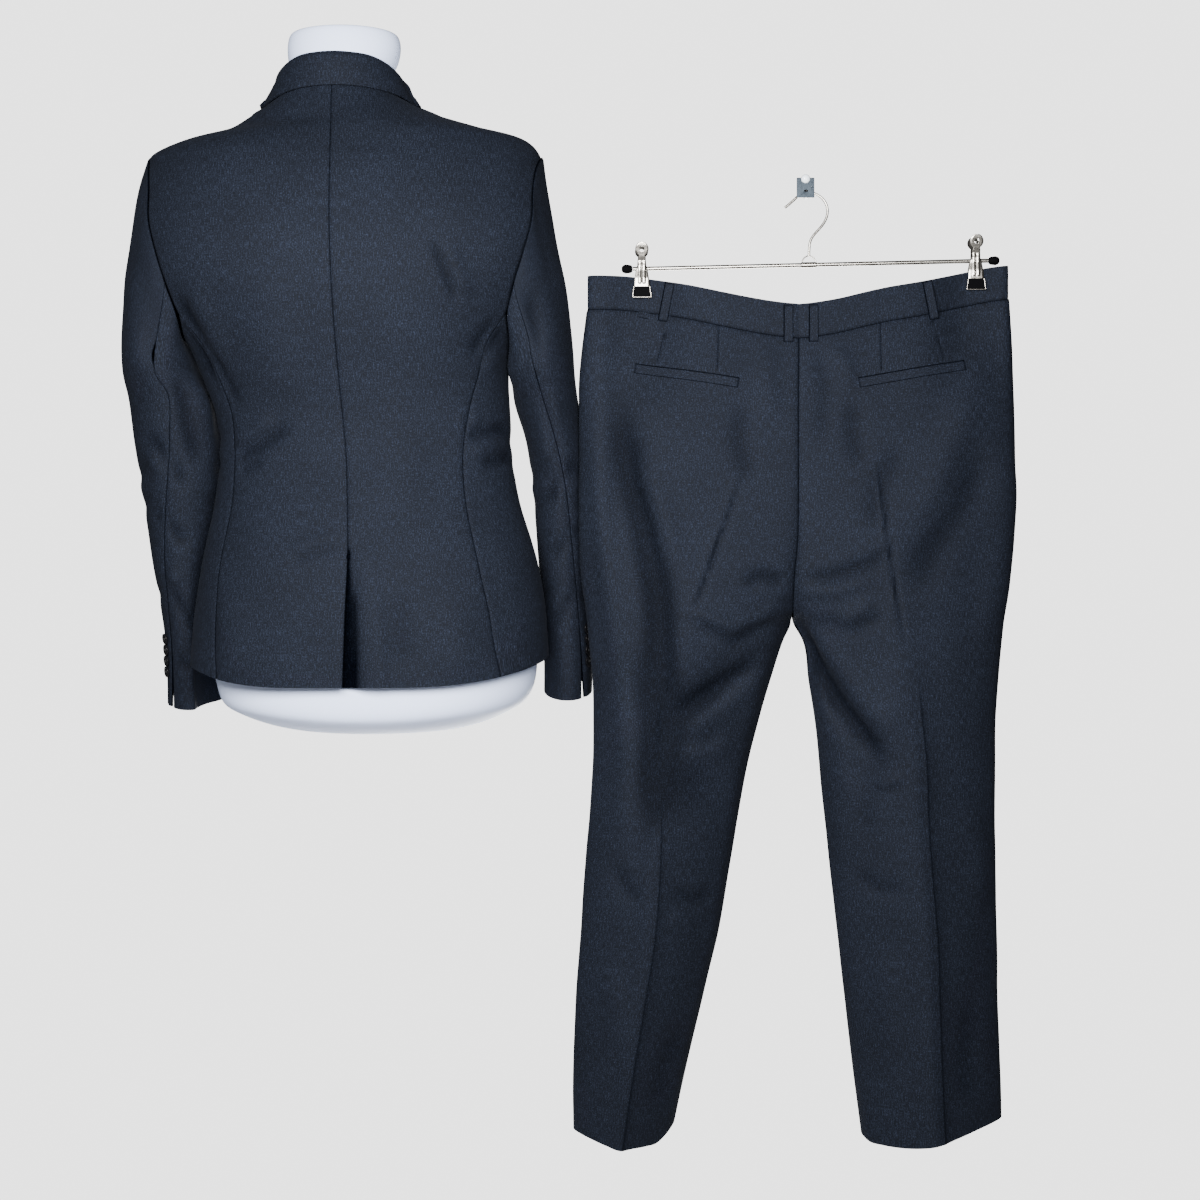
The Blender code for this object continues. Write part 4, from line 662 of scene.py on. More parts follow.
SLEEVE_FOLDS = {
    "back": (
        (2.0, 14, -752, -112, -744, -190, -736, -250), (-3.0, 10, -700, -232, -690, -300, -676, -352),
        (-2.6, 9, -744, -300, -716, -330, -690, -372), (2.0, 9, -740, -326, -712, -356),
        (-2.4, 8, -736, -380, -712, -410, -688, -432), (-2.2, 8, -722, -470, -700, -500, -682, -526),
        (1.7, 9, -726, -448, -704, -474), (-1.8, 8, -718, -548, -692, -566),
        (-2.4, 10, -318, -140, -312, -200, -322, -262), (1.9, 12, -290, -250, -300, -310, -308, -360),
        (-2.0, 8, -262, -330, -284, -352, -306, -382), (-2.0, 8, -258, -400, -280, -424, -304, -446),
        (-1.8, 8, -260, -470, -284, -500, -300, -520),
    ),
    "left": (
        (2.2, 16, -176, -90, -150, -190, -132, -260), (-2.6, 9, -190, -330, -140, -352, -86, -346),
        (-2.2, 8, -180, -366, -132, -384, -90, -376), (1.8, 9, -160, -352, -110, -366),
        (-2.0, 8, -150, -470, -104, -486, -70, -474),
    ),
    "right": (
        (2.2, 16, -172, -96, -146, -190, -122, -260), (-2.4, 9, -168, -336, -120, -356, -70, -350),
        (-2.0, 8, -160, -372, -116, -388), (-1.8, 8, -140, -476, -92, -490, -58, -480),
    ),
    "front": (
        (-2.4, 12, -742, -150, -730, -230, -726, -270), (-2.8, 9, -742, -322, -712, -348, -680, -360),
        (2.0, 9, -738, -352, -706, -372), (-2.0, 9, -730, -440, -700, -462),
        (-2.2, 12, -296, -150, -288, -240, -282, -290), (-2.4, 9, -262, -330, -288, -352, -312, -362),
        (-1.8, 8, -264, -448, -292, -466),
    ),
}

TROUSER_FOLDS = {
    "back": (
        # The groove under the left clip, with the ridge outside it.
        (-5.5, 17, -226, -205, -220, -309, -196, -400, -181, -480, -176, -560, -174, -630,
         -184, -700, -198, -790),
        (3.6, 13, -249, -240, -240, -400, -226, -520, -216, -660, -226, -800),
        (3.0, 14, -205, -320, -176, -400, -160, -460),
        # The pressed crease where it runs up over the seat.
        (1.3, 3.5, -86, -332, -112, -404, -141, -484, -160, -520),
        (-2.0, 3.2, -82, -336, -108, -408, -137, -488, -156, -524),
        (1.2, 3.5, 54, -330, 64, -420, 76, -500, 84, -545),
        (-2.0, 3.2, 58, -334, 68, -424, 80, -504, 88, -548),
        # What runs out from the fork.
        (2.6, 7, -156, -489, -128, -507, -99, -517, -66, -505, -44, -484),
        (-2.4, 8, -150, -502, -99, -532, -60, -516), (-2.6, 9, -92, -470, -66, -462, -36, -470),
        (-2.6, 8, -38, -468, 8, -462, 50, -446, 84, -426), (2.0, 9, -30, -478, 14, -476, 58, -462),
        (2.0, 8, 12, -517, 32, -502, 54, -484), (-1.8, 7, 20, -530, 44, -512, 66, -500),
        # The left thigh.
        (-2.6, 44, -262, -545, -170, -612, -70, -604), (-2.2, 40, -246, -640, -172, -690, -96, -680),
        (-3.0, 10, -60, -545, -112, -580, -172, -622), (2.2, 11, -58, -566, -104, -600, -156, -634),
        (1.6, 10, -92, -640, -126, -652, -158, -650),
        # The right thigh's long fold, shaded below and lit above.
        (-5.2, 9, -38, -486, -20, -530, 14, -597, 53, -648, 63, -680),
        (3.6, 11, -20, -500, 12, -552, 44, -604, 72, -640), (2.4, 5, 53, -688, 66, -684, 84, -676),
        (2.0, 12, 6, -590, 22, -650, 30, -720),
        # The right hip, from the clip down to the seat.
        (3.4, 22, 170, -180, 160, -262, 120, -371, 76, -420),
        (-3.0, 20, 180, -300, 146, -380, 108, -442, 92, -500),
        (2.6, 16, 204, -300, 196, -420, 176, -560), (-1.8, 14, 90, -310, 62, -360, 50, -420),
        # Between the welts and the seat.
        (-1.9, 12, -84, -262, -92, -310, -78, -370), (-1.9, 12, 38, -262, 30, -300, 40, -350),
        (-1.5, 10, -6, -200, 2, -260, -2, -330), (1.6, 12, -58, -200, -62, -240, -56, -300),
        (1.5, 9, 10, -205, 26, -236, 30, -262),
        # Knees and shins.
        (-1.8, 9, -228, -770, -214, -800, -196, -812), (-1.7, 9, -170, -800, -140, -812, -112, -800),
        (1.4, 9, -172, -828, -136, -842), (1.8, 14, -240, -880, -222, -930, -226, -990),
        (-1.6, 14, -150, -940, -176, -1000, -180, -1050), (-1.7, 9, 30, -780, 60, -800, 90, -796),
        (2.0, 16, 150, -700, 170, -760, 168, -840), (1.7, 16, 60, -850, 70, -930, 76, -1000),
        (-1.6, 15, 160, -900, 152, -980, 160, -1050), (-1.4, 12, 24, -640, 40, -700, 52, -760),
    ),
    "front": (
        # The front, which hangs towards the wall.
        (-4.0, 16, -222, -210, -214, -300, -190, -400, -178, -500),
        (-3.4, 16, 186, -200, 178, -300, 156, -420, 140, -520),
        (-3.0, 10, -30, -470, -70, -440, -110, -400), (-3.0, 10, -24, -478, 20, -446, 60, -410),
        (2.2, 10, -46, -500, -90, -470, -130, -450), (2.2, 10, -8, -500, 36, -470, 80, -448),
        (-2.6, 10, -60, -540, -110, -566, -160, -570), (-2.6, 10, 0, -545, 50, -572, 100, -574),
        (-2.2, 10, -230, -760, -180, -790, -120, -786), (-2.2, 10, 20, -770, 80, -796, 150, -790),
        (1.8, 16, -70, -230, -64, -300, -74, -380), (1.8, 16, 24, -230, 20, -300, 30, -380),
    ),
    "left": (
        (2.0, 12, -166, -330, -158, -420, -164, -520), (-0.8, 16, -190, -760, -150, -776, -118, -770),
    ),
    "right": (
        (2.0, 12, -166, -330, -158, -420, -164, -520), (-0.8, 16, -190, -770, -150, -786, -118, -780),
    ),
}


# ---------------------------------------------------------------- the jacket

# Each piece: its name, how far across it the line lies that its grain follows, the border that
# is tucked under a neighbour, the borders that meet another piece, and the flat size that it was
# cut to, in metres, with the share of that which it fills.
JACKET_PIECES = (
    ("jacket_back_left", 1.0, "first", ("first", "last", "top"), (0.235, 0.700), 0.80),
    ("jacket_back_right", 0.16, "last", ("first", "last", "top"), (0.260, 0.700), 0.80),
    ("jacket_side_left", 0.0, "top", ("first", "last", "top"), (0.125, 0.400), 0.85),
    ("jacket_side_right", 1.0, "top", ("first", "last", "top"), (0.145, 0.400), 0.85),
    ("jacket_front_left", 0.0, None, ("last", "top"), (0.270, 0.690), 0.70),
    ("jacket_front_right", 1.0, None, ("first", "top"), (0.270, 0.690), 0.70),
)
TUCK = {"top": 0.009, "first": 0.0055, "last": 0.0055}      # how far a border is tucked under
TUCK_SINK = 0.003       # and how far below its neighbour it lies there

# The vent, from its top to the hem: height, the overlapping edge's x and how far the
# hollow beside it and its painted shade reach, in mm.
VENT = ((-425, -506.8, 0.5), (-455, -508.6, 7.0), (-492, -509.6, 15.0), (-530, -511.6, 19.5),
        (-560, -512.6, 24.0), (-590, -513.8, 26.0))
VENT_DEPTH = 0.0035
SLEEVE_HEAD = (0.0022, 0.0012, 0.0009)      # a sleeve head's reach, how deep it lies, its shade
LAPEL_ROLL = (0.0009, 0.0016, 0.0011)       # depth and width of a lapel's edge, and of its shade


def cloth_piece(name, folds, edges, grain, flat, share, held, rests_on, ripple=1.0, wall=None,
                tucked=None, shape=None, **more):
    """Build one cloth piece over its solid."""
    wall = wall or cloth().wall
    piece = Cloth(wall_grid(name, wall), edges=edges, **more)
    piece.fold(folds, ripple, edges)
    piece.close(*edges)
    if tucked:
        piece.reach(tucked, TUCK[tucked], sink=TUCK_SINK)
    if shape:
        shape(piece)
    column = int(np.argmin(np.abs(piece.columns - grain * piece.width)))
    sheet(name, piece, wall, column)


def sink_vent(piece):
    """Sink the under side of the vent beside the edge that lies over it, and paint shade over it."""
    heights, edges, widths = (np.array(VENT)[::-1] * MM).T
    x, z = piece.points[..., 0], piece.points[..., 2]
    across = (x - np.interp(z, heights, edges)) / np.interp(z, heights, widths)
    down = heights[-1] - z
    near = (1 - blend(across * 2.4 - 1.4)) * blend(down / 0.012)
    piece.move(-VENT_DEPTH * near * blend(down / 0.10))
    piece.shade(near)


class SUIT_OT_jacket_body(bpy.types.Operator):
    """Build the jacket's back, side and front pieces."""
    bl_idname = "suit.jacket_body"
    bl_label = "Jacket Body"

    def execute(self, context):
        for name, grain, tucked, edges, flat, share in JACKET_PIECES:
            cloth_piece(name, JACKET_FOLDS, edges, grain, flat, share, "draped", ["form_torso"],
                        tucked=tucked, shape=sink_vent if name == "jacket_back_right" else None)
        return {"FINISHED"}


def pressed_edges(piece):
    """Roll a lapel's edges over and shade them, where they lie on the front."""
    depth, width, shade_width = LAPEL_ROLL
    for edge in ("first", "last", "top"):
        distance = piece.from_edge(edge)
        piece.move(-depth * bell(distance, width))
        piece.shade(0.9 * bell(distance, shade_width))


class SUIT_OT_lapels(bpy.types.Operator):
    """Build the turned-back lapels."""
    bl_idname = "suit.lapels"
    bl_label = "Lapels"

    def execute(self, context):
        for side in ("left", "right"):
            cloth_piece(f"jacket_lapel_{side}", {}, (), 0.0, (0.080, 0.320), 0.62,
                        "folded", [f"jacket_front_{side}"], 0.3, pitch=0.0025,
                        shape=pressed_edges)
        return {"FINISHED"}


def cloth_tree(prefix):
    """A search tree over the faces of the cloth pieces whose names start this way."""
    verts, faces = [], []
    for item in bpy.data.objects:
        if item.name.startswith(prefix) and item.name.endswith("_cloth"):
            start = len(verts)
            verts += [vertex.co.copy() for vertex in item.data.vertices]
            faces += [[start + index for index in face.vertices] for face in item.data.polygons]
    return BVHTree.FromPolygons(verts, faces)


FALL_GAP = 0.0007       # how far the fall's under side stays off the jacket
FALL_MOST = 0.014       # and the most that it is brought down
FALL_SPREAD = 9         # over how many columns that is evened out


def lay_fall(piece):
    """Bring the fall of the collar down on the jacket, most of all along its edge."""
    tree = cloth_tree("jacket")
    moves = np.zeros((len(piece.columns), 3))
    for column, point in enumerate(piece.points[-1]):
        place, normal = tree.find_nearest(Vector(point))[:2]
        if normal.dot(Vector(point) - place) < 0:
            normal = -normal
        moves[column] = place + normal * (cloth().collar_wall + FALL_GAP) - Vector(point)
    size = np.linalg.norm(moves, axis=1, keepdims=True)
    moves *= np.minimum(1, FALL_MOST / np.maximum(size, 1e-9))
    kernel = np.hanning(FALL_SPREAD + 2)[1:-1]
    kernel /= kernel.sum()
    padded = np.pad(moves, ((FALL_SPREAD // 2,) * 2, (0, 0)), mode="edge")
    moves = np.stack([np.convolve(padded[:, axis], kernel, "valid") for axis in range(3)], axis=1)
    share = piece.rows / piece.height
    piece.points = piece.points + blend((share - 0.5) / 0.5)[:, None, None] * moves


class SUIT_OT_collar(bpy.types.Operator):
    """Build the collar: the stand round the neck and the fall turned down over it."""
    bl_idname = "suit.collar"
    bl_label = "Collar"

    def execute(self, context):
        cloth_piece("jacket_collar", {}, (), 0.5, (0.500, 0.075), 0.72, "folded",
                    ["jacket_back_left", "jacket_back_right"], 0.3,
                    wall=cloth().collar_wall, pitch=0.0022, shape=lay_fall)
        return {"FINISHED"}


class SUIT_OT_sleeves(bpy.types.Operator):
    """Build the sleeves, each a top piece and an under piece."""
    bl_idname = "suit.sleeves"
    bl_label = "Sleeves"

    def execute(self, context):
        for side in ("left", "right"):
            for part, flat in (("top", (0.215, 0.640)), ("under", (0.150, 0.560))):
                name = f"jacket_sleeve_{side}_{part}"
                piece = Cloth(wall_grid(name, cloth().wall), edges=("first", "last", "top"))
                piece.fold(SLEEVE_FOLDS, edges=("first", "last", "top"))
                piece.close("first", "last")
                reach, sink, width = SLEEVE_HEAD
                piece.reach("top", reach, sink)
                piece.shade(bell(piece.from_edge("top"), width))
                sheet(name, piece, cloth().wall, len(piece.columns) // 2)
        return {"FINISHED"}


# ---------------------------------------------------------------- the trousers

BAND = 0.037            # depth of the waistband, as in the solids
BAND_RISE = 0.0007      # the band's middle stands out by this much, being several layers
BAND_ROWS = [0, 0.02, *np.linspace(0.06, 0.94, 9), 0.98, 1]     # its rows, as shares of its depth
TROUSER_MIDDLE = -0.026     # x of the middle seam at the waist
FORK_Z = -0.506         # height of the fork, where the legs part
MEET = 0.007            # width of the cloth that moves as the middle borders are drawn together
CREASE_TOP = {"back": -0.565, "front": -0.215}     # where the pressed crease begins
CREASE = (0.0008, 0.0022)       # its height and half width
CREASE_SHADE = 0.36             # and how dark the painted shade beside it is

# Darts run down from under the waistband: top and bottom, in mm as (x, z).
DARTS = (((-171, -189), (-180, -226)), ((-113, -189), (-115, -235)),
         ((63, -187), (63, -238)), ((122, -186), (133, -224)))
DART = (0.0007, 0.0012, 0.0006)     # a dart's depth and half width, and half its dark line's
DART_ABOVE = 0.020      # how far its line runs on above its top
DART_ROW = -0.210       # height at which the darts' columns are found


def dart_columns(piece):
    """Where a panel's darts cross it, so that its mesh is finer there."""
    line = piece.points[np.argmin(np.abs(piece.points[:, 0, 2] - DART_ROW)), :, 0]
    middles = [(top + low) / 2 * MM for (top, _), (low, _) in DARTS]
    return [piece.columns[np.argmin(np.abs(line - middle))] for middle in middles
            if line.min() < middle < line.max()]


def sink_darts(piece):
    """Sink a fine line along each dart, and darken it."""
    flat = piece.points[..., [0, 2]]
    deep, width, dark = DART
    depth = np.zeros_like(piece.seam)
    for ends in DARTS:
        top, low = np.array(ends) * MM
        distance, _ = from_line(flat, np.array([top - unit(low - top) * DART_ABOVE, low]))
        depth = np.maximum(depth, bell(distance, width))
        piece.shade(0.75 * bell(distance, dark))
    piece.move(-deep * depth)


def press_crease(piece, face):
    """Press the crease down the middle of a leg, shade the line beside it, and return its
    column."""
    along = piece.from_edge("first")
    crease = int(np.argmin(np.abs(piece.columns - piece.width / 2)))
    across = along - along[:, crease][:, None]
    below = blend((CREASE_TOP[face] - piece.points[..., 2]) / 0.05)
    rise, width = CREASE
    piece.move(rise * below * bell(across, width))
    line = bell(across - 0.0012, 0.0010) + 0.45 * bell(across, 0.006)
    piece.shade(CREASE_SHADE * below * line)
    return crease


def trouser_panel(side, face):
    """The points of one of the four main pieces of the trousers."""
    grid = wall_grid(f"trousers_{face}_{side}", cloth().wall)
    even = Cloth(grid)
    columns = dart_columns(even) if face == "back" else []
    piece = Cloth(grid, fine_columns=columns + [even.width / 2], edges=("first", "last", "top"))
    piece.fold(TROUSER_FOLDS, edges=("first", "last"))
    piece.close("first", "last", "top")
    if face == "back":
        sink_darts(piece)
    return piece


def inner_border(piece):
    """The border that runs down the middle seam and on down the inside of the leg."""
    top = piece.points[-1, :, 0]
    near = abs(top[0] - TROUSER_MIDDLE) < abs(top[-1] - TROUSER_MIDDLE)
    return ("first", 0) if near else ("last", -1)


def draw_together(*pair):
    """Bring two panels' borders together along the middle seam, down to the fork."""
    lines = [piece.points[:, inner_border(piece)[1]].copy() for piece in pair]
    for piece, line, facing in zip(pair, lines, lines[::-1]):
        order = np.argsort(facing[:, 2])
        across = [np.interp(line[:, 2], facing[order, 2], facing[order, axis]) for axis in (0, 1)]
        target = np.stack(across + [line[:, 2]], axis=1)
        shift = (target - line) / 2 * blend((line[:, 2] - FORK_Z) / 0.008)[:, None]
        near = bell(piece.from_edge(inner_border(piece)[0]), MEET)
        piece.points = piece.points + shift[:, None] * near[..., None]


def even_line(line, pitch):
    """Points at an even pitch along a line of points."""
    run = np.concatenate([[0], np.cumsum(np.linalg.norm(np.diff(line, axis=0), axis=1))])
    keep = np.concatenate([[True], np.diff(run) > 1e-5])
    places = np.linspace(0, run[-1], round(run[-1] / pitch))
    return np.stack([np.interp(places, run[keep], line[keep, axis]) for axis in range(3)], axis=1)


def waistband(side, panels):
    """Half of the waistband, carried up from the top edges of its two panels."""
    back, front = (panels[side, face].points[-1] for face in ("back", "front"))
    line = np.concatenate([front[:-1], back] if side == "left" else [back, front[1:]])
    line = even_line(line, 0.003)
    normal = unit(np.stack([np.gradient(line[:, 1]), -np.gradient(line[:, 0]),
                            np.zeros(len(line))], axis=-1))
    rows = []
    for share in BAND_ROWS:
        rise = BAND_RISE * (1 - (2 * share - 1) ** 6)
        rows.append(line + normal * (cloth().seam_depth + rise) + (0, 0, BAND * share))
    piece = Cloth(np.array(rows), pitch=0.003)
    piece.seam = 0.45 * bell(piece.from_edge("bottom"), 0.0008)
    sheet(f"trousers_waistband_{side}", piece, cloth().wall, 0)


class SUIT_OT_trouser_panels(bpy.types.Operator):
    """Build the trousers' backs, fronts and waistband."""
    bl_idname = "suit.trouser_panels"
    bl_label = "Trouser Panels and Waistband"

    def execute(self, context):
        panels = {(side, face): trouser_panel(side, face)
                  for side in ("left", "right") for face in ("back", "front")}
        for face in ("back", "front"):
            draw_together(panels["left", face], panels["right", face])
        for (side, face), piece in panels.items():
            sheet(f"trousers_{face}_{side}", piece, cloth().wall, press_crease(piece, face))
        for side in ("left", "right"):
            waistband(side, panels)
        return {"FINISHED"}


# A strip's cross-section: how far to each side, as a share of its half width, how high, and how
# dark the painted shade along it is, darkest at its edges.
STRIP = ((-1.0, 0.0, 1.0), (-0.95, 0.75, 1.0), (-0.82, 1.0, 0.8), (-0.68, 1.0, 0.0),
         (0.0, 0.94, 0.0), (0.76, 1.0, 0.0), (0.90, 1.0, 0.45), (0.96, 0.7, 0.8), (1.0, 0.0, 0.8))
STRIP_WALL = 0.0005

LOOPS = (
    # name, face, x of the top and of the bottom in mm
    ("back_middle_left", ROOM, -37.5, -37.5), ("back_middle_right", ROOM, -10.0, -10.0),
    ("back_left", ROOM, -166.0, -174.0), ("back_right", ROOM, 114.0, 122.5),
    ("front_left", WALL, -130.0, -130.0), ("front_right", WALL, 78.0, 78.0),
)
WELTS = (
    # side, and its outer and inner ends in mm as (x, z)
    ("left", (-204.5, -233.5), (-92.0, -251.5)), ("right", (38.2, -251.5), (156.5, -230.5)),
)


def strip(name, tree, face, start, end, width, rise, straight=False):
    """A strip laid on the cloth from one place to another, in mm as (x, z). A straight one
    bridges the hollows across it."""
    start, end = np.array(start) * MM, np.array(end) * MM
    long = np.linalg.norm(end - start)
    line = (end - start) / long
    square = np.array([line[1], -line[0]])
    steps = max(8, round(long / 0.0025))
    grid = []
    for step in range(steps + 1):
        share = step / steps
        middle = start + (end - start) * share
        places = [middle + square * width / 2 * MM * across for across, _, _ in STRIP]
        highs = []
        for x, z in places:
            hit = tree.ray_cast(Vector((x, face, z)), Vector((0, -face, 0)))[0]
            highs.append(face * hit.y if hit else -1e9)
        highs = [max(high, max(highs) - 0.004) for high in highs]
        if straight:
            highs = [max(highs)] * len(highs)
        ends = 0.25 + 0.75 * min(1.0, share * steps / 1.2, (1 - share) * steps / 1.2)
        grid.append([(x, face * (high + rise * MM * height * ends), z)
                     for (x, z), (_, height, _), high in zip(places, STRIP, highs)])
    grid, shade = np.array(grid), [dark for _, _, dark in STRIP]
    piece = Cloth.__new__(Cloth)
    piece.points = grid if face < 0 else grid[:, ::-1]
    piece.seam = np.tile(shade if face < 0 else shade[::-1], (len(grid), 1))
    # Painted shade across both ends as well.
    piece.seam[[0, -1]] = np.maximum(piece.seam[[0, -1]], 0.8)
    sheet(name, piece, STRIP_WALL, len(STRIP) // 2)


class SUIT_OT_trouser_trim(bpy.types.Operator):
    """Build the belt loops and the welts of the hip pockets."""
    bl_idname = "suit.trouser_trim"
    bl_label = "Belt Loops and Welts"

    def execute(self, context):
        tree = cloth_tree("trousers")
        for name, face, top, low in LOOPS:
            node = f"trousers_belt_loop_{name}"
            lowest, highest = (corner[2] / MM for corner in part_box(node))
            strip(node, tree, face, (low, lowest + 0.5), (top, highest - 0.5), 10.5, 1.5,
                  straight=True)
        for side, outer, inner in WELTS:
            strip(f"trousers_welt_{side}", tree, ROOM, outer, inner, 11.5, 1.2)
        return {"FINISHED"}


# ---------------------------------------------------------------- hard pieces


def fresh(kind, **settings):
    """Add a primitive with nothing else selected, and return it."""
    select_only()
    getattr(bpy.ops.mesh, f"primitive_{kind}_add")(**settings)
    return bpy.context.object


def finish(piece, name, material, node=None, angle=35):
    """Name a hard piece, bake its place into its mesh, and give it its material and node."""
    select_only(piece)
    bpy.ops.object.transform_apply(location=True, rotation=True, scale=True)
    apply_modifiers(piece)
    bpy.ops.object.shade_smooth_by_angle(angle=math.radians(angle))
    piece.modifiers.new("normals", "WEIGHTED_NORMAL").keep_sharp = True
    apply_modifiers(piece)
    piece.name = piece.data.name = name
    piece.data.materials.clear()
    piece.data.materials.append(material)
    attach(piece, "root")
    if node:
        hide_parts(node)


def bevelled(piece, width, segments=3, angle=30):
    """Round the edges sharper than an angle."""
    edge = piece.modifiers.new("bevel", "BEVEL")
    edge.width, edge.segments, edge.angle_limit = width, segments, math.radians(angle)


def cut(piece, cutter):
    """Cut one piece out of another, and remove the cutter."""
    hole = piece.modifiers.new("cut", "BOOLEAN")
    hole.object, hole.solver = cutter, "EXACT"
    select_only(piece)
    bpy.ops.object.modifier_apply(modifier=hole.name)
    bpy.data.objects.remove(cutter, do_unlink=True)


def rounded_copy(node, width, segments=3):
    """A copy of a solid, its flat faces joined up and its edges rounded."""
    made = bpy.data.objects.new(node + "_copy", NODES[node].data.copy())
    bpy.context.scene.collection.objects.link(made)
    select_only(made)
    bpy.ops.object.mode_set(mode="EDIT")
    bpy.ops.mesh.select_all(action="SELECT")
    bpy.ops.mesh.remove_doubles(threshold=1e-6)
    bpy.ops.mesh.dissolve_limited(angle_limit=math.radians(1))
    bpy.ops.mesh.normals_make_consistent(inside=False)
    bpy.ops.object.mode_set(mode="OBJECT")
    bevelled(made, width, segments)
    return made


def wire(name, points, radius, node=None):
    """A round plated wire through the points, made as a curve and turned into a mesh."""
    select_only()
    bpy.ops.curve.primitive_nurbs_path_add()
    line = bpy.context.object.data
    line.splines.clear()
    run = line.splines.new("NURBS")
    run.points.add(len(points) - 1)
    for point, place in zip(run.points, points):
        point.co = (*place, 1)
    run.use_endpoint_u, run.order_u, run.resolution_u = True, 4, 6
    line.dimensions = "3D"
    line.bevel_depth, line.bevel_resolution, line.use_fill_caps = radius, 4, True
    bpy.ops.object.convert(target="MESH")
    finish(bpy.context.object, name, chrome_plate(), node, 50)


# A button of radius 1: its depth, how far its holes lie from the middle, and the radii of a
# hole, of a stitch's ring and of the thread.
BUTTON_DEPTH, HOLE_PLACE, HOLE, STITCH, THREAD = 0.34, 0.26, 0.10, 0.186, 0.055
BUTTON_NODES = [f"jacket_cuff_button_{side}_{number}" for side in ("left", "right")
                for number in (1, 2, 3, 4)] + ["jacket_button", "trousers_button"]
SLEEVE_LINE = {"left": -0.715, "right": -0.285}     # x of the middle of each sleeve at its cuff


def button_pattern():
    """A four-hole button of radius 1, facing up z: a rounded rim round a sunk middle."""
    made = fresh("cylinder", vertices=48, radius=1, depth=BUTTON_DEPTH)
    bpy.ops.object.mode_set(mode="EDIT")
    bpy.ops.mesh.select_all(action="DESELECT")
    bpy.ops.object.mode_set(mode="OBJECT")
    for face in made.data.polygons:
        face.select = face.normal.z > 0.9
    bpy.ops.object.mode_set(mode="EDIT")
    bpy.ops.mesh.inset(thickness=0.20, depth=0.0)
    bpy.ops.mesh.inset(thickness=0.08, depth=-0.09)
    bpy.ops.object.mode_set(mode="OBJECT")
    bevelled(made, 0.05, 3, 25)
    apply_modifiers(made)
    for turn in range(4):
        angle = math.pi / 4 + turn * math.pi / 2
        place = (HOLE_PLACE * math.cos(angle), HOLE_PLACE * math.sin(angle), 0)
        cut(made, fresh("cylinder", vertices=14, radius=HOLE, depth=2, location=place))
    return made


def thread_pattern():
    """Two stitches across a button's holes."""
    stitches = []
    for side in (-1, 1):
        stitch = fresh("torus", major_radius=STITCH, minor_radius=THREAD, major_segments=20,
                       minor_segments=8, location=(STITCH * side, 0, 0.02),
                       rotation=(math.pi / 2, 0, math.pi / 2))
        stitch.scale = (1, 0.9, 1)
        stitches.append(stitch)
    select_only(*stitches)
    bpy.ops.object.join()
    bpy.ops.object.transform_apply(location=True, rotation=True, scale=True)
    return stitches[0]


class SUIT_OT_buttons(bpy.types.Operator):
    """Build the buttons: one pattern, set on the place and axis of each button's solid."""
    bl_idname = "suit.buttons"
    bl_label = "Buttons"

    def execute(self, context):
        patterns = button_pattern(), thread_pattern()
        thread = plain("polyester_thread", colours().suiting_dark, 0.7, grain=0.4, spread=0.3)
        for node in BUTTON_NODES:
            points = merged(node)[0]
            middle = points.mean(axis=0)
            normal = Vector((0, 1, 0))
            if "cuff" in node:
                normal = Vector(np.linalg.svd(points - middle)[2][2])
                inside = Vector((SLEEVE_LINE[node.split("_")[3]], -0.10, middle[2]))
                if normal.dot(Vector(middle) - inside) < 0:
                    normal.negate()
            radius = np.linalg.norm(points - middle, axis=1).max()
            turn = normal.to_track_quat("Z", "Y").to_matrix().to_4x4()
            place = Matrix.Translation(Vector(middle)) @ turn @ Matrix.Scale(radius, 4)
            for pattern, part, material, replaced in (
                    (patterns[0], "face", button_plastic(), node),
                    (patterns[1], "thread", thread, None)):
                made = bpy.data.objects.new(f"{node}_{part}", pattern.data.copy())
                context.scene.collection.objects.link(made)
                made.data.transform(place)
                finish(made, f"{node}_{part}", material, replaced)
        for pattern in patterns:
            bpy.data.objects.remove(pattern, do_unlink=True)
        return {"FINISHED"}


HANGER_Y = -0.155
ROD_ENDS = ((-0.2065, -0.1232), (0.1848, -0.1140))      # x and z of the rod's ends
ROD_SLOPE = 0.0235
ROD_RADIUS = 0.0023
WIRE_RADIUS = 0.0014
# The eye, in metres: its sleeve's radius and length, and its arch's half width, foot, height
# and wire.
EYE_SLEEVE, EYE_ARCH = (0.0031, 0.0165), (0.0078, 0.0015, 0.0085, 0.0007)
# The hook's line, x and z in mm, from the eye round to its tip.
HOOK_LINE = ((-12.6, -109.2), (-12.3, -99), (-11.6, -91), (-5.2, -83.2), (3.9, -73.8),
             (8.6, -63), (7.4, -52), (1.6, -44.2), (-6, -39.8), (-15, -38.0), (-24, -41.2),
             (-30.9, -49.4), (-38.9, -55.6))


def rod_height(x):
    (x0, z0), (x1, z1) = ROD_ENDS
    return z0 + (z1 - z0) * (x - x0) / (x1 - x0)


def along_rod(x, radius, depth, vertices):
    """A bevelled cylinder laid along the rod at x."""
    made = fresh("cylinder", radius=radius, depth=depth, vertices=vertices,
                 location=(x, HANGER_Y, rod_height(x)),
                 rotation=(0, math.pi / 2 - math.atan(ROD_SLOPE), 0))
    bevelled(made, 0.0005)
    return made


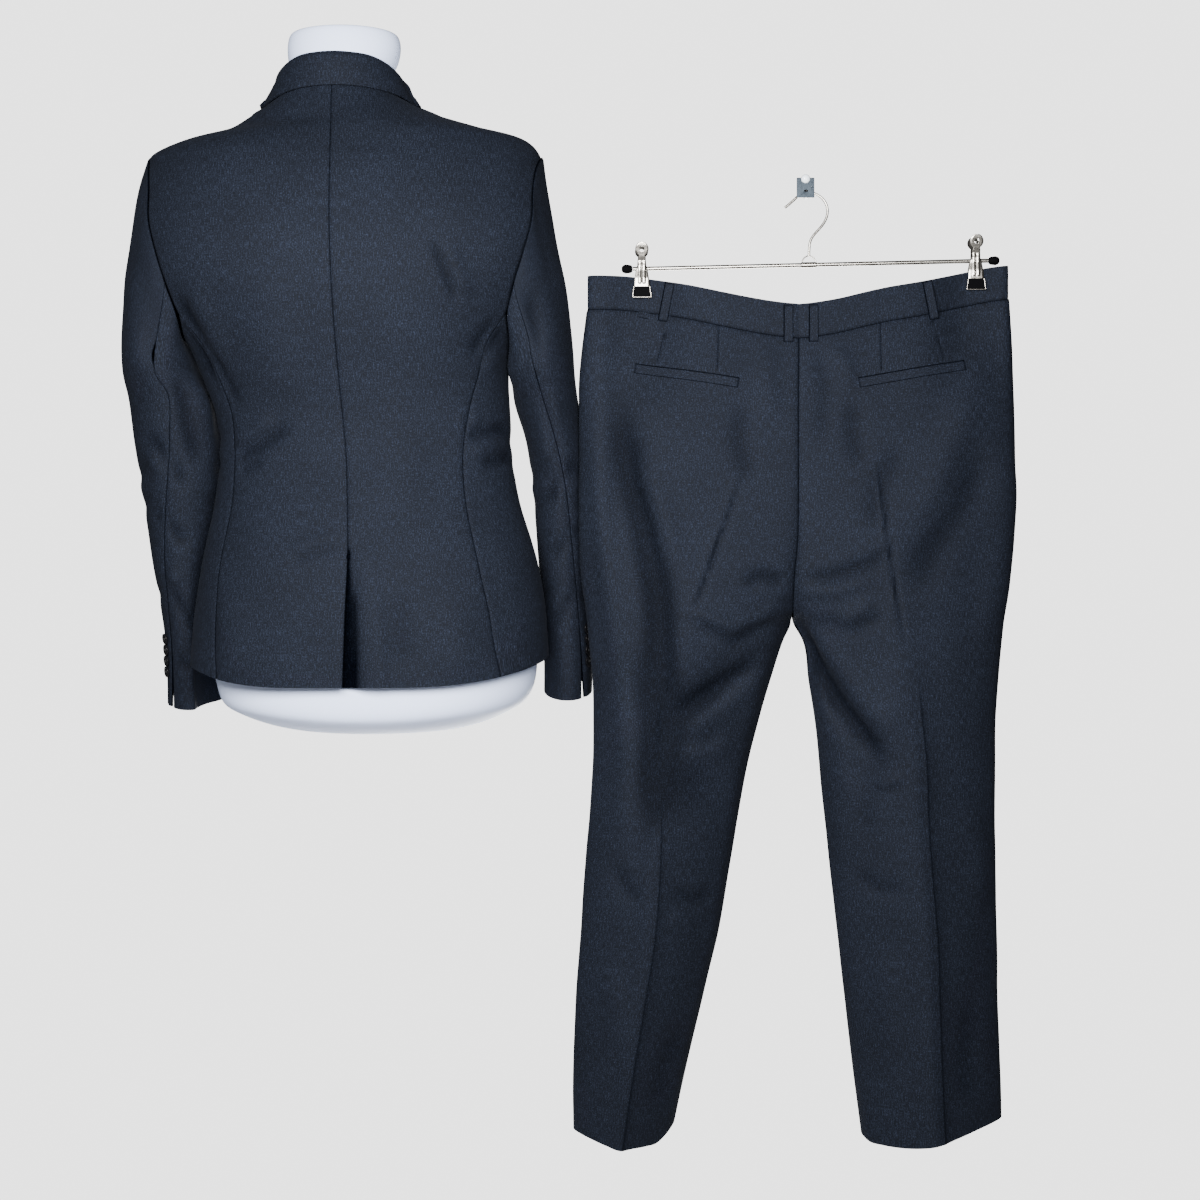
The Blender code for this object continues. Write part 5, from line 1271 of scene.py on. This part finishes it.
class SUIT_OT_hanger(bpy.types.Operator):
    """Build the hanger: the rod with its end knobs, the eye and the wire hook."""
    bl_idname = "suit.hanger"
    bl_label = "Hanger"

    def execute(self, context):
        (x0, _), (x1, _) = ROD_ENDS
        finish(along_rod((x0 + x1) / 2, ROD_RADIUS, x1 - x0, 32), "hanger_rod_steel",
               chrome_plate(), "hanger_rod")
        for node in ("hanger_end_left", "hanger_end_right"):
            finish(rounded_copy(node, 0.0008, 4), node + "_knob", rubber(), node, 60)
        x = HOOK_LINE[0][0] * MM
        finish(along_rod(x, *EYE_SLEEVE, 28), "hanger_eye_sleeve", chrome_plate(), "hanger_eye")
        half, foot, height, radius = EYE_ARCH
        arch = [(x - half * math.cos(turn), HANGER_Y, rod_height(x) + foot + height * math.sin(turn))
                for turn in np.linspace(0, math.pi, 13)]
        wire("hanger_eye_arch", arch, radius)
        wire("hanger_hook_wire", [(x * MM, HANGER_Y, z * MM) for x, z in HOOK_LINE], WIRE_RADIUS,
             "hanger_hook")
        return {"FINISHED"}


CLIPS = {"left": -0.1965, "right": 0.1705}      # x of each clip
# A clip's jaw from its handle down to its foot: height from the rod, half width, and how far
# its outer face stands from the middle plane, all in mm.
JAW = ((27.6, 1.2, 11.9), (24.6, 3.6, 11.2), (21.0, 3.6, 10.0), (17.6, 3.6, 9.0),
       (15.2, 3.6, 8.2), (13.2, 3.7, 7.6), (11.2, 4.2, 6.8), (9.0, 4.2, 5.6),
       (3.5, 4.6, 4.0), (-2.5, 6.4, 4.0), (-10.5, 7.6, 5.3), (-16.0, 8.0, 5.3),
       (-19.8, 8.2, 5.3))
JAW_PLATE = 0.0011
WINDOW = (20.5, 2.9)        # height and radius of the hole in the handle, in mm
HANDLE = 7.2                # and the radius of the handle round it
RIB = (2.3, 1.5, 0.9)       # a rib's place from the middle, its half width and its rise, in mm
LIP = 0.5                   # how far a jaw's edges turn in, in mm
# The wire frame round a pad, in mm: half its width and its height from the pad's lowest point,
# from its top end to its foot. An end is given twice, so that the wire reaches it.
PAD_FRAME = ((8.6, 12.5), (8.6, 12.5), (10.2, 1.5), (10.2, 0.6), (9.2, 0.6))
FRAME_RADIUS = 0.00045


def jaw(node, x, face):
    """One jaw: a pressed plate with a round handle, a window in it and two long ribs."""
    base = rod_height(x)
    plate = fresh("grid", x_subdivisions=24, y_subdivisions=64, size=1)
    heights, halves, reaches = np.array(JAW)[::-1].T
    for vertex in plate.data.vertices:
        share, up = vertex.co.x * 2, vertex.co.y + 0.5
        height = heights[0] + (heights[-1] - heights[0]) * up
        half = max(np.interp(height, heights, halves),
                   math.sqrt(max(0, HANDLE ** 2 - (height - WINDOW[0]) ** 2)))
        across = share * half
        rib = math.exp(-((abs(across) - RIB[0]) / RIB[1]) ** 4) * RIB[2]
        rib *= blend((height + 17.5) / 2) * blend((8.5 - height) / 3)
        lip = LIP * blend((abs(share) - 0.8) / 0.2)
        reach = np.interp(height, heights, reaches) + rib - lip - JAW_PLATE / 2 / MM
        vertex.co = (x + across * MM, HANGER_Y + face * reach * MM, base + height * MM)
    if face > 0:
        plate.data.flip_normals()
    shell = plate.modifiers.new("plate", "SOLIDIFY")
    shell.thickness, shell.offset = JAW_PLATE, 0
    apply_modifiers(plate)
    height, radius = WINDOW
    reach = np.interp(height, heights, reaches)
    cut(plate, fresh("cylinder", vertices=28, radius=radius * MM, depth=0.02,
                     location=(x, HANGER_Y + face * reach * MM, base + height * MM),
                     rotation=(math.pi / 2, 0, 0)))
    bevelled(plate, 0.00018, 2, 50)
    finish(plate, node + "_plate", chrome_plate(), node)


class SUIT_OT_clips(bpy.types.Operator):
    """Build the clips: two pressed jaws each, and a rubber pad in a wire frame on each foot."""
    bl_idname = "suit.clips"
    bl_label = "Clips"

    def execute(self, context):
        for side, x in CLIPS.items():
            for where, face in (("back", ROOM), ("front", WALL)):
                node = f"hanger_clip_{side}_{where}"
                jaw(node + "_jaw", x, face)
                finish(rounded_copy(node + "_pad", 0.0007), node + "_pad_rubber", rubber(),
                       node + "_pad")
                low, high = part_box(node + "_pad")
                outer = (low.y if face < 0 else high.y) + face * 0.0002
                line = [(x + way * across * MM, outer, low.z + up * MM)
                        for way, order in ((-1, 1), (1, -1)) for across, up in PAD_FRAME[::order]]
                wire(node + "_frame", line, FRAME_RADIUS)
        return {"FINISHED"}


# The holes in the hook's tab, in mm: x and z, and half their width and height.
TAB_HOLES = ((-16.4, -38.4, 2.2, 1.6), (-9.9, -34.4, 1.0, 1.0))
TAB_Y = -0.1600


def steel(node, width):
    """A steel piece that only rounds its solid's edges."""
    finish(rounded_copy(node, width), node + "_steel", galvanised_steel(), node)


class SUIT_OT_wall_hook(bpy.types.Operator):
    """Build the wall hook, which is a plate, an arm with its holed tab and a round stud, and
    the peg that carries the form."""
    bl_idname = "suit.wall_hook"
    bl_label = "Wall Hook"

    def execute(self, context):
        steel("wall_hook_plate", 0.0006)
        arm = rounded_copy("wall_hook_arm", 0.0006)
        apply_modifiers(arm)
        for x, z, wide, tall in TAB_HOLES:
            drill = fresh("cylinder", vertices=24, radius=1, depth=0.0048,
                          location=(x * MM, TAB_Y, z * MM), rotation=(math.pi / 2, 0, 0))
            drill.scale = (wide * MM, tall * MM, 1)
            cut(arm, drill)
        finish(arm, "wall_hook_arm_steel", galvanised_steel(), "wall_hook_arm")
        low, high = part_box("wall_hook_stud")
        middle, radius = (low + high) / 2, (high.x - low.x) / 2
        dome = fresh("uv_sphere", segments=32, ring_count=16, radius=radius,
                     location=(middle.x, high.y, middle.z), rotation=(math.pi / 2, 0, 0))
        dome.scale = (1, 1, (high.y - low.y) / radius)
        for vertex in dome.data.vertices:
            vertex.co.z = max(vertex.co.z, 0)
        finish(dome, "wall_hook_stud_dome", glaze(), "wall_hook_stud", 60)
        steel("form_peg", 0.0008)
        steel("form_peg_plate", 0.0008)
        return {"FINISHED"}


# ---------------------------------------------------------------- the dress form

class SUIT_OT_dress_form(bpy.types.Operator):
    """Build the dress form's torso and neck, smooth, over their solids."""
    bl_idname = "suit.dress_form"
    bl_label = "Dress Form"

    def execute(self, context):
        for name in ("form_torso", "form_neck"):
            work = merged_mesh(name)
            bmesh.ops.join_triangles(work, faces=work.faces, angle_face_threshold=0.7,
                                     angle_shape_threshold=0.9)
            mesh = bpy.data.meshes.new(name)
            work.to_mesh(mesh)
            work.free()
            mesh.shade_smooth()
            made = new_object(name + "_smooth", mesh, form_cover())
            rounding = made.modifiers.new("rounding", "SUBSURF")
            rounding.levels = rounding.render_levels = 2
            apply_modifiers(made)
            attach(made, "root")
            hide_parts(name)
        return {"FINISHED"}


# ---------------------------------------------------------------- stage

CAMERA = (-0.2424, -2.455, -0.4872)     # level, and straight at the wall
LENS = 62.73
FLOOR = (-0.24, -0.3, -1.9, 2.6)        # the floor's middle, and its radius
AMBIENT = 0.07          # how much the white room itself lights the suit
ROOM_WHITE = 2.8        # how bright the room is where the camera sees it
# The lights: place, target, size and power. The one behind lifts the form off the room.
LIGHTS = {
    "key_jacket": ((-0.60, -1.45, -0.10), (-0.52, -0.15, -0.30), 0.5, 40),
    "key_trousers": ((-0.10, -1.45, -0.15), (-0.03, -0.15, -0.45), 0.5, 36),
    "fill": ((-1.4, -2.4, 0.7), (-0.24, -0.15, -0.5), 0.9, 40),
    "behind": ((-0.2, 2.4, -1.2), (-0.24, -0.15, -0.5), 1.2, 150),
}


class SUIT_OT_stage(bpy.types.Operator):
    """Make the floor, the lights, the white room and the camera."""
    bl_idname = "suit.stage"
    bl_label = "Stage"

    def execute(self, context):
        x, y, z, radius = FLOOR
        rim = [(x + radius * math.cos(turn), y + radius * math.sin(turn), z)
               for turn in np.linspace(0, 2 * math.pi, 96, endpoint=False)]
        mesh = bpy.data.meshes.new("floor")
        mesh.from_pydata(rim, [], [tuple(range(len(rim)))])
        paint = plain("painted_floor", colours().stage, 0.9, grain=40, spread=0.004)
        new_object("floor", mesh, paint)
        for name, (place, target, size, power) in LIGHTS.items():
            light = bpy.data.lights.new(name, "AREA")
            light.size, light.energy = size, power
            made = bpy.data.objects.new(name, light)
            turn = (Vector(target) - Vector(place)).to_track_quat("-Z", "Y")
            made.location, made.rotation_euler = place, turn.to_euler()
            made.visible_camera = False
            context.scene.collection.objects.link(made)
        world = context.scene.world = bpy.data.worlds.new("studio")
        world.use_nodes = True
        tree = world.node_tree
        seen = add_node(tree, "ShaderNodeLightPath").outputs["Is Camera Ray"]
        strength = add_node(tree, "ShaderNodeMapRange", Value=seen, To_Min=AMBIENT,
                            To_Max=ROOM_WHITE)
        sky = tree.nodes["Background"]
        sky.inputs["Color"].default_value = (1.0, 1.0, 1.0, 1)
        tree.links.new(strength.outputs[0], sky.inputs["Strength"])
        lens = bpy.data.cameras.new("camera")
        lens.lens, lens.sensor_width = LENS, 36
        camera = context.scene.camera = bpy.data.objects.new("camera", lens)
        camera.location, camera.rotation_euler = CAMERA, (math.pi / 2, 0, 0)
        context.scene.collection.objects.link(camera)
        return {"FINISHED"}


# ---------------------------------------------------------------- panel and making

OPERATORS = (SUIT_OT_stage, SUIT_OT_dress_form, SUIT_OT_jacket_body, SUIT_OT_lapels,
             SUIT_OT_collar, SUIT_OT_sleeves, SUIT_OT_trouser_panels, SUIT_OT_trouser_trim,
             SUIT_OT_buttons, SUIT_OT_hanger, SUIT_OT_clips, SUIT_OT_wall_hook)


class SUIT_PT_panel(bpy.types.Panel):
    """Lists the sizes, the colours and the steps of the suit."""
    bl_idname = "SUIT_PT_panel"
    bl_label = "Two-Piece Suit"
    bl_space_type = "VIEW_3D"
    bl_region_type = "UI"
    bl_category = "Suit"

    def draw(self, context):
        for group in (context.scene.suit_cloth, context.scene.suit_colours):
            box = self.layout.box()
            for name in group.__annotations__:
                box.prop(group, name)
        for operator in OPERATORS:
            self.layout.operator(operator.bl_idname)


CLASSES = (SuitCloth, SuitColours) + OPERATORS + (SUIT_PT_panel,)


def register():
    for item in CLASSES:
        bpy.utils.register_class(item)
    bpy.types.Scene.suit_cloth = bpy.props.PointerProperty(type=SuitCloth)
    bpy.types.Scene.suit_colours = bpy.props.PointerProperty(type=SuitColours)


def unregister():
    del bpy.types.Scene.suit_colours
    del bpy.types.Scene.suit_cloth
    for item in reversed(CLASSES):
        bpy.utils.unregister_class(item)


def main():
    register()
    for operator in OPERATORS:
        group, name = operator.bl_idname.split(".")
        getattr(getattr(bpy.ops, group), name)()
    bpy.context.view_layer.update()


if __name__ == "__main__":
    main()
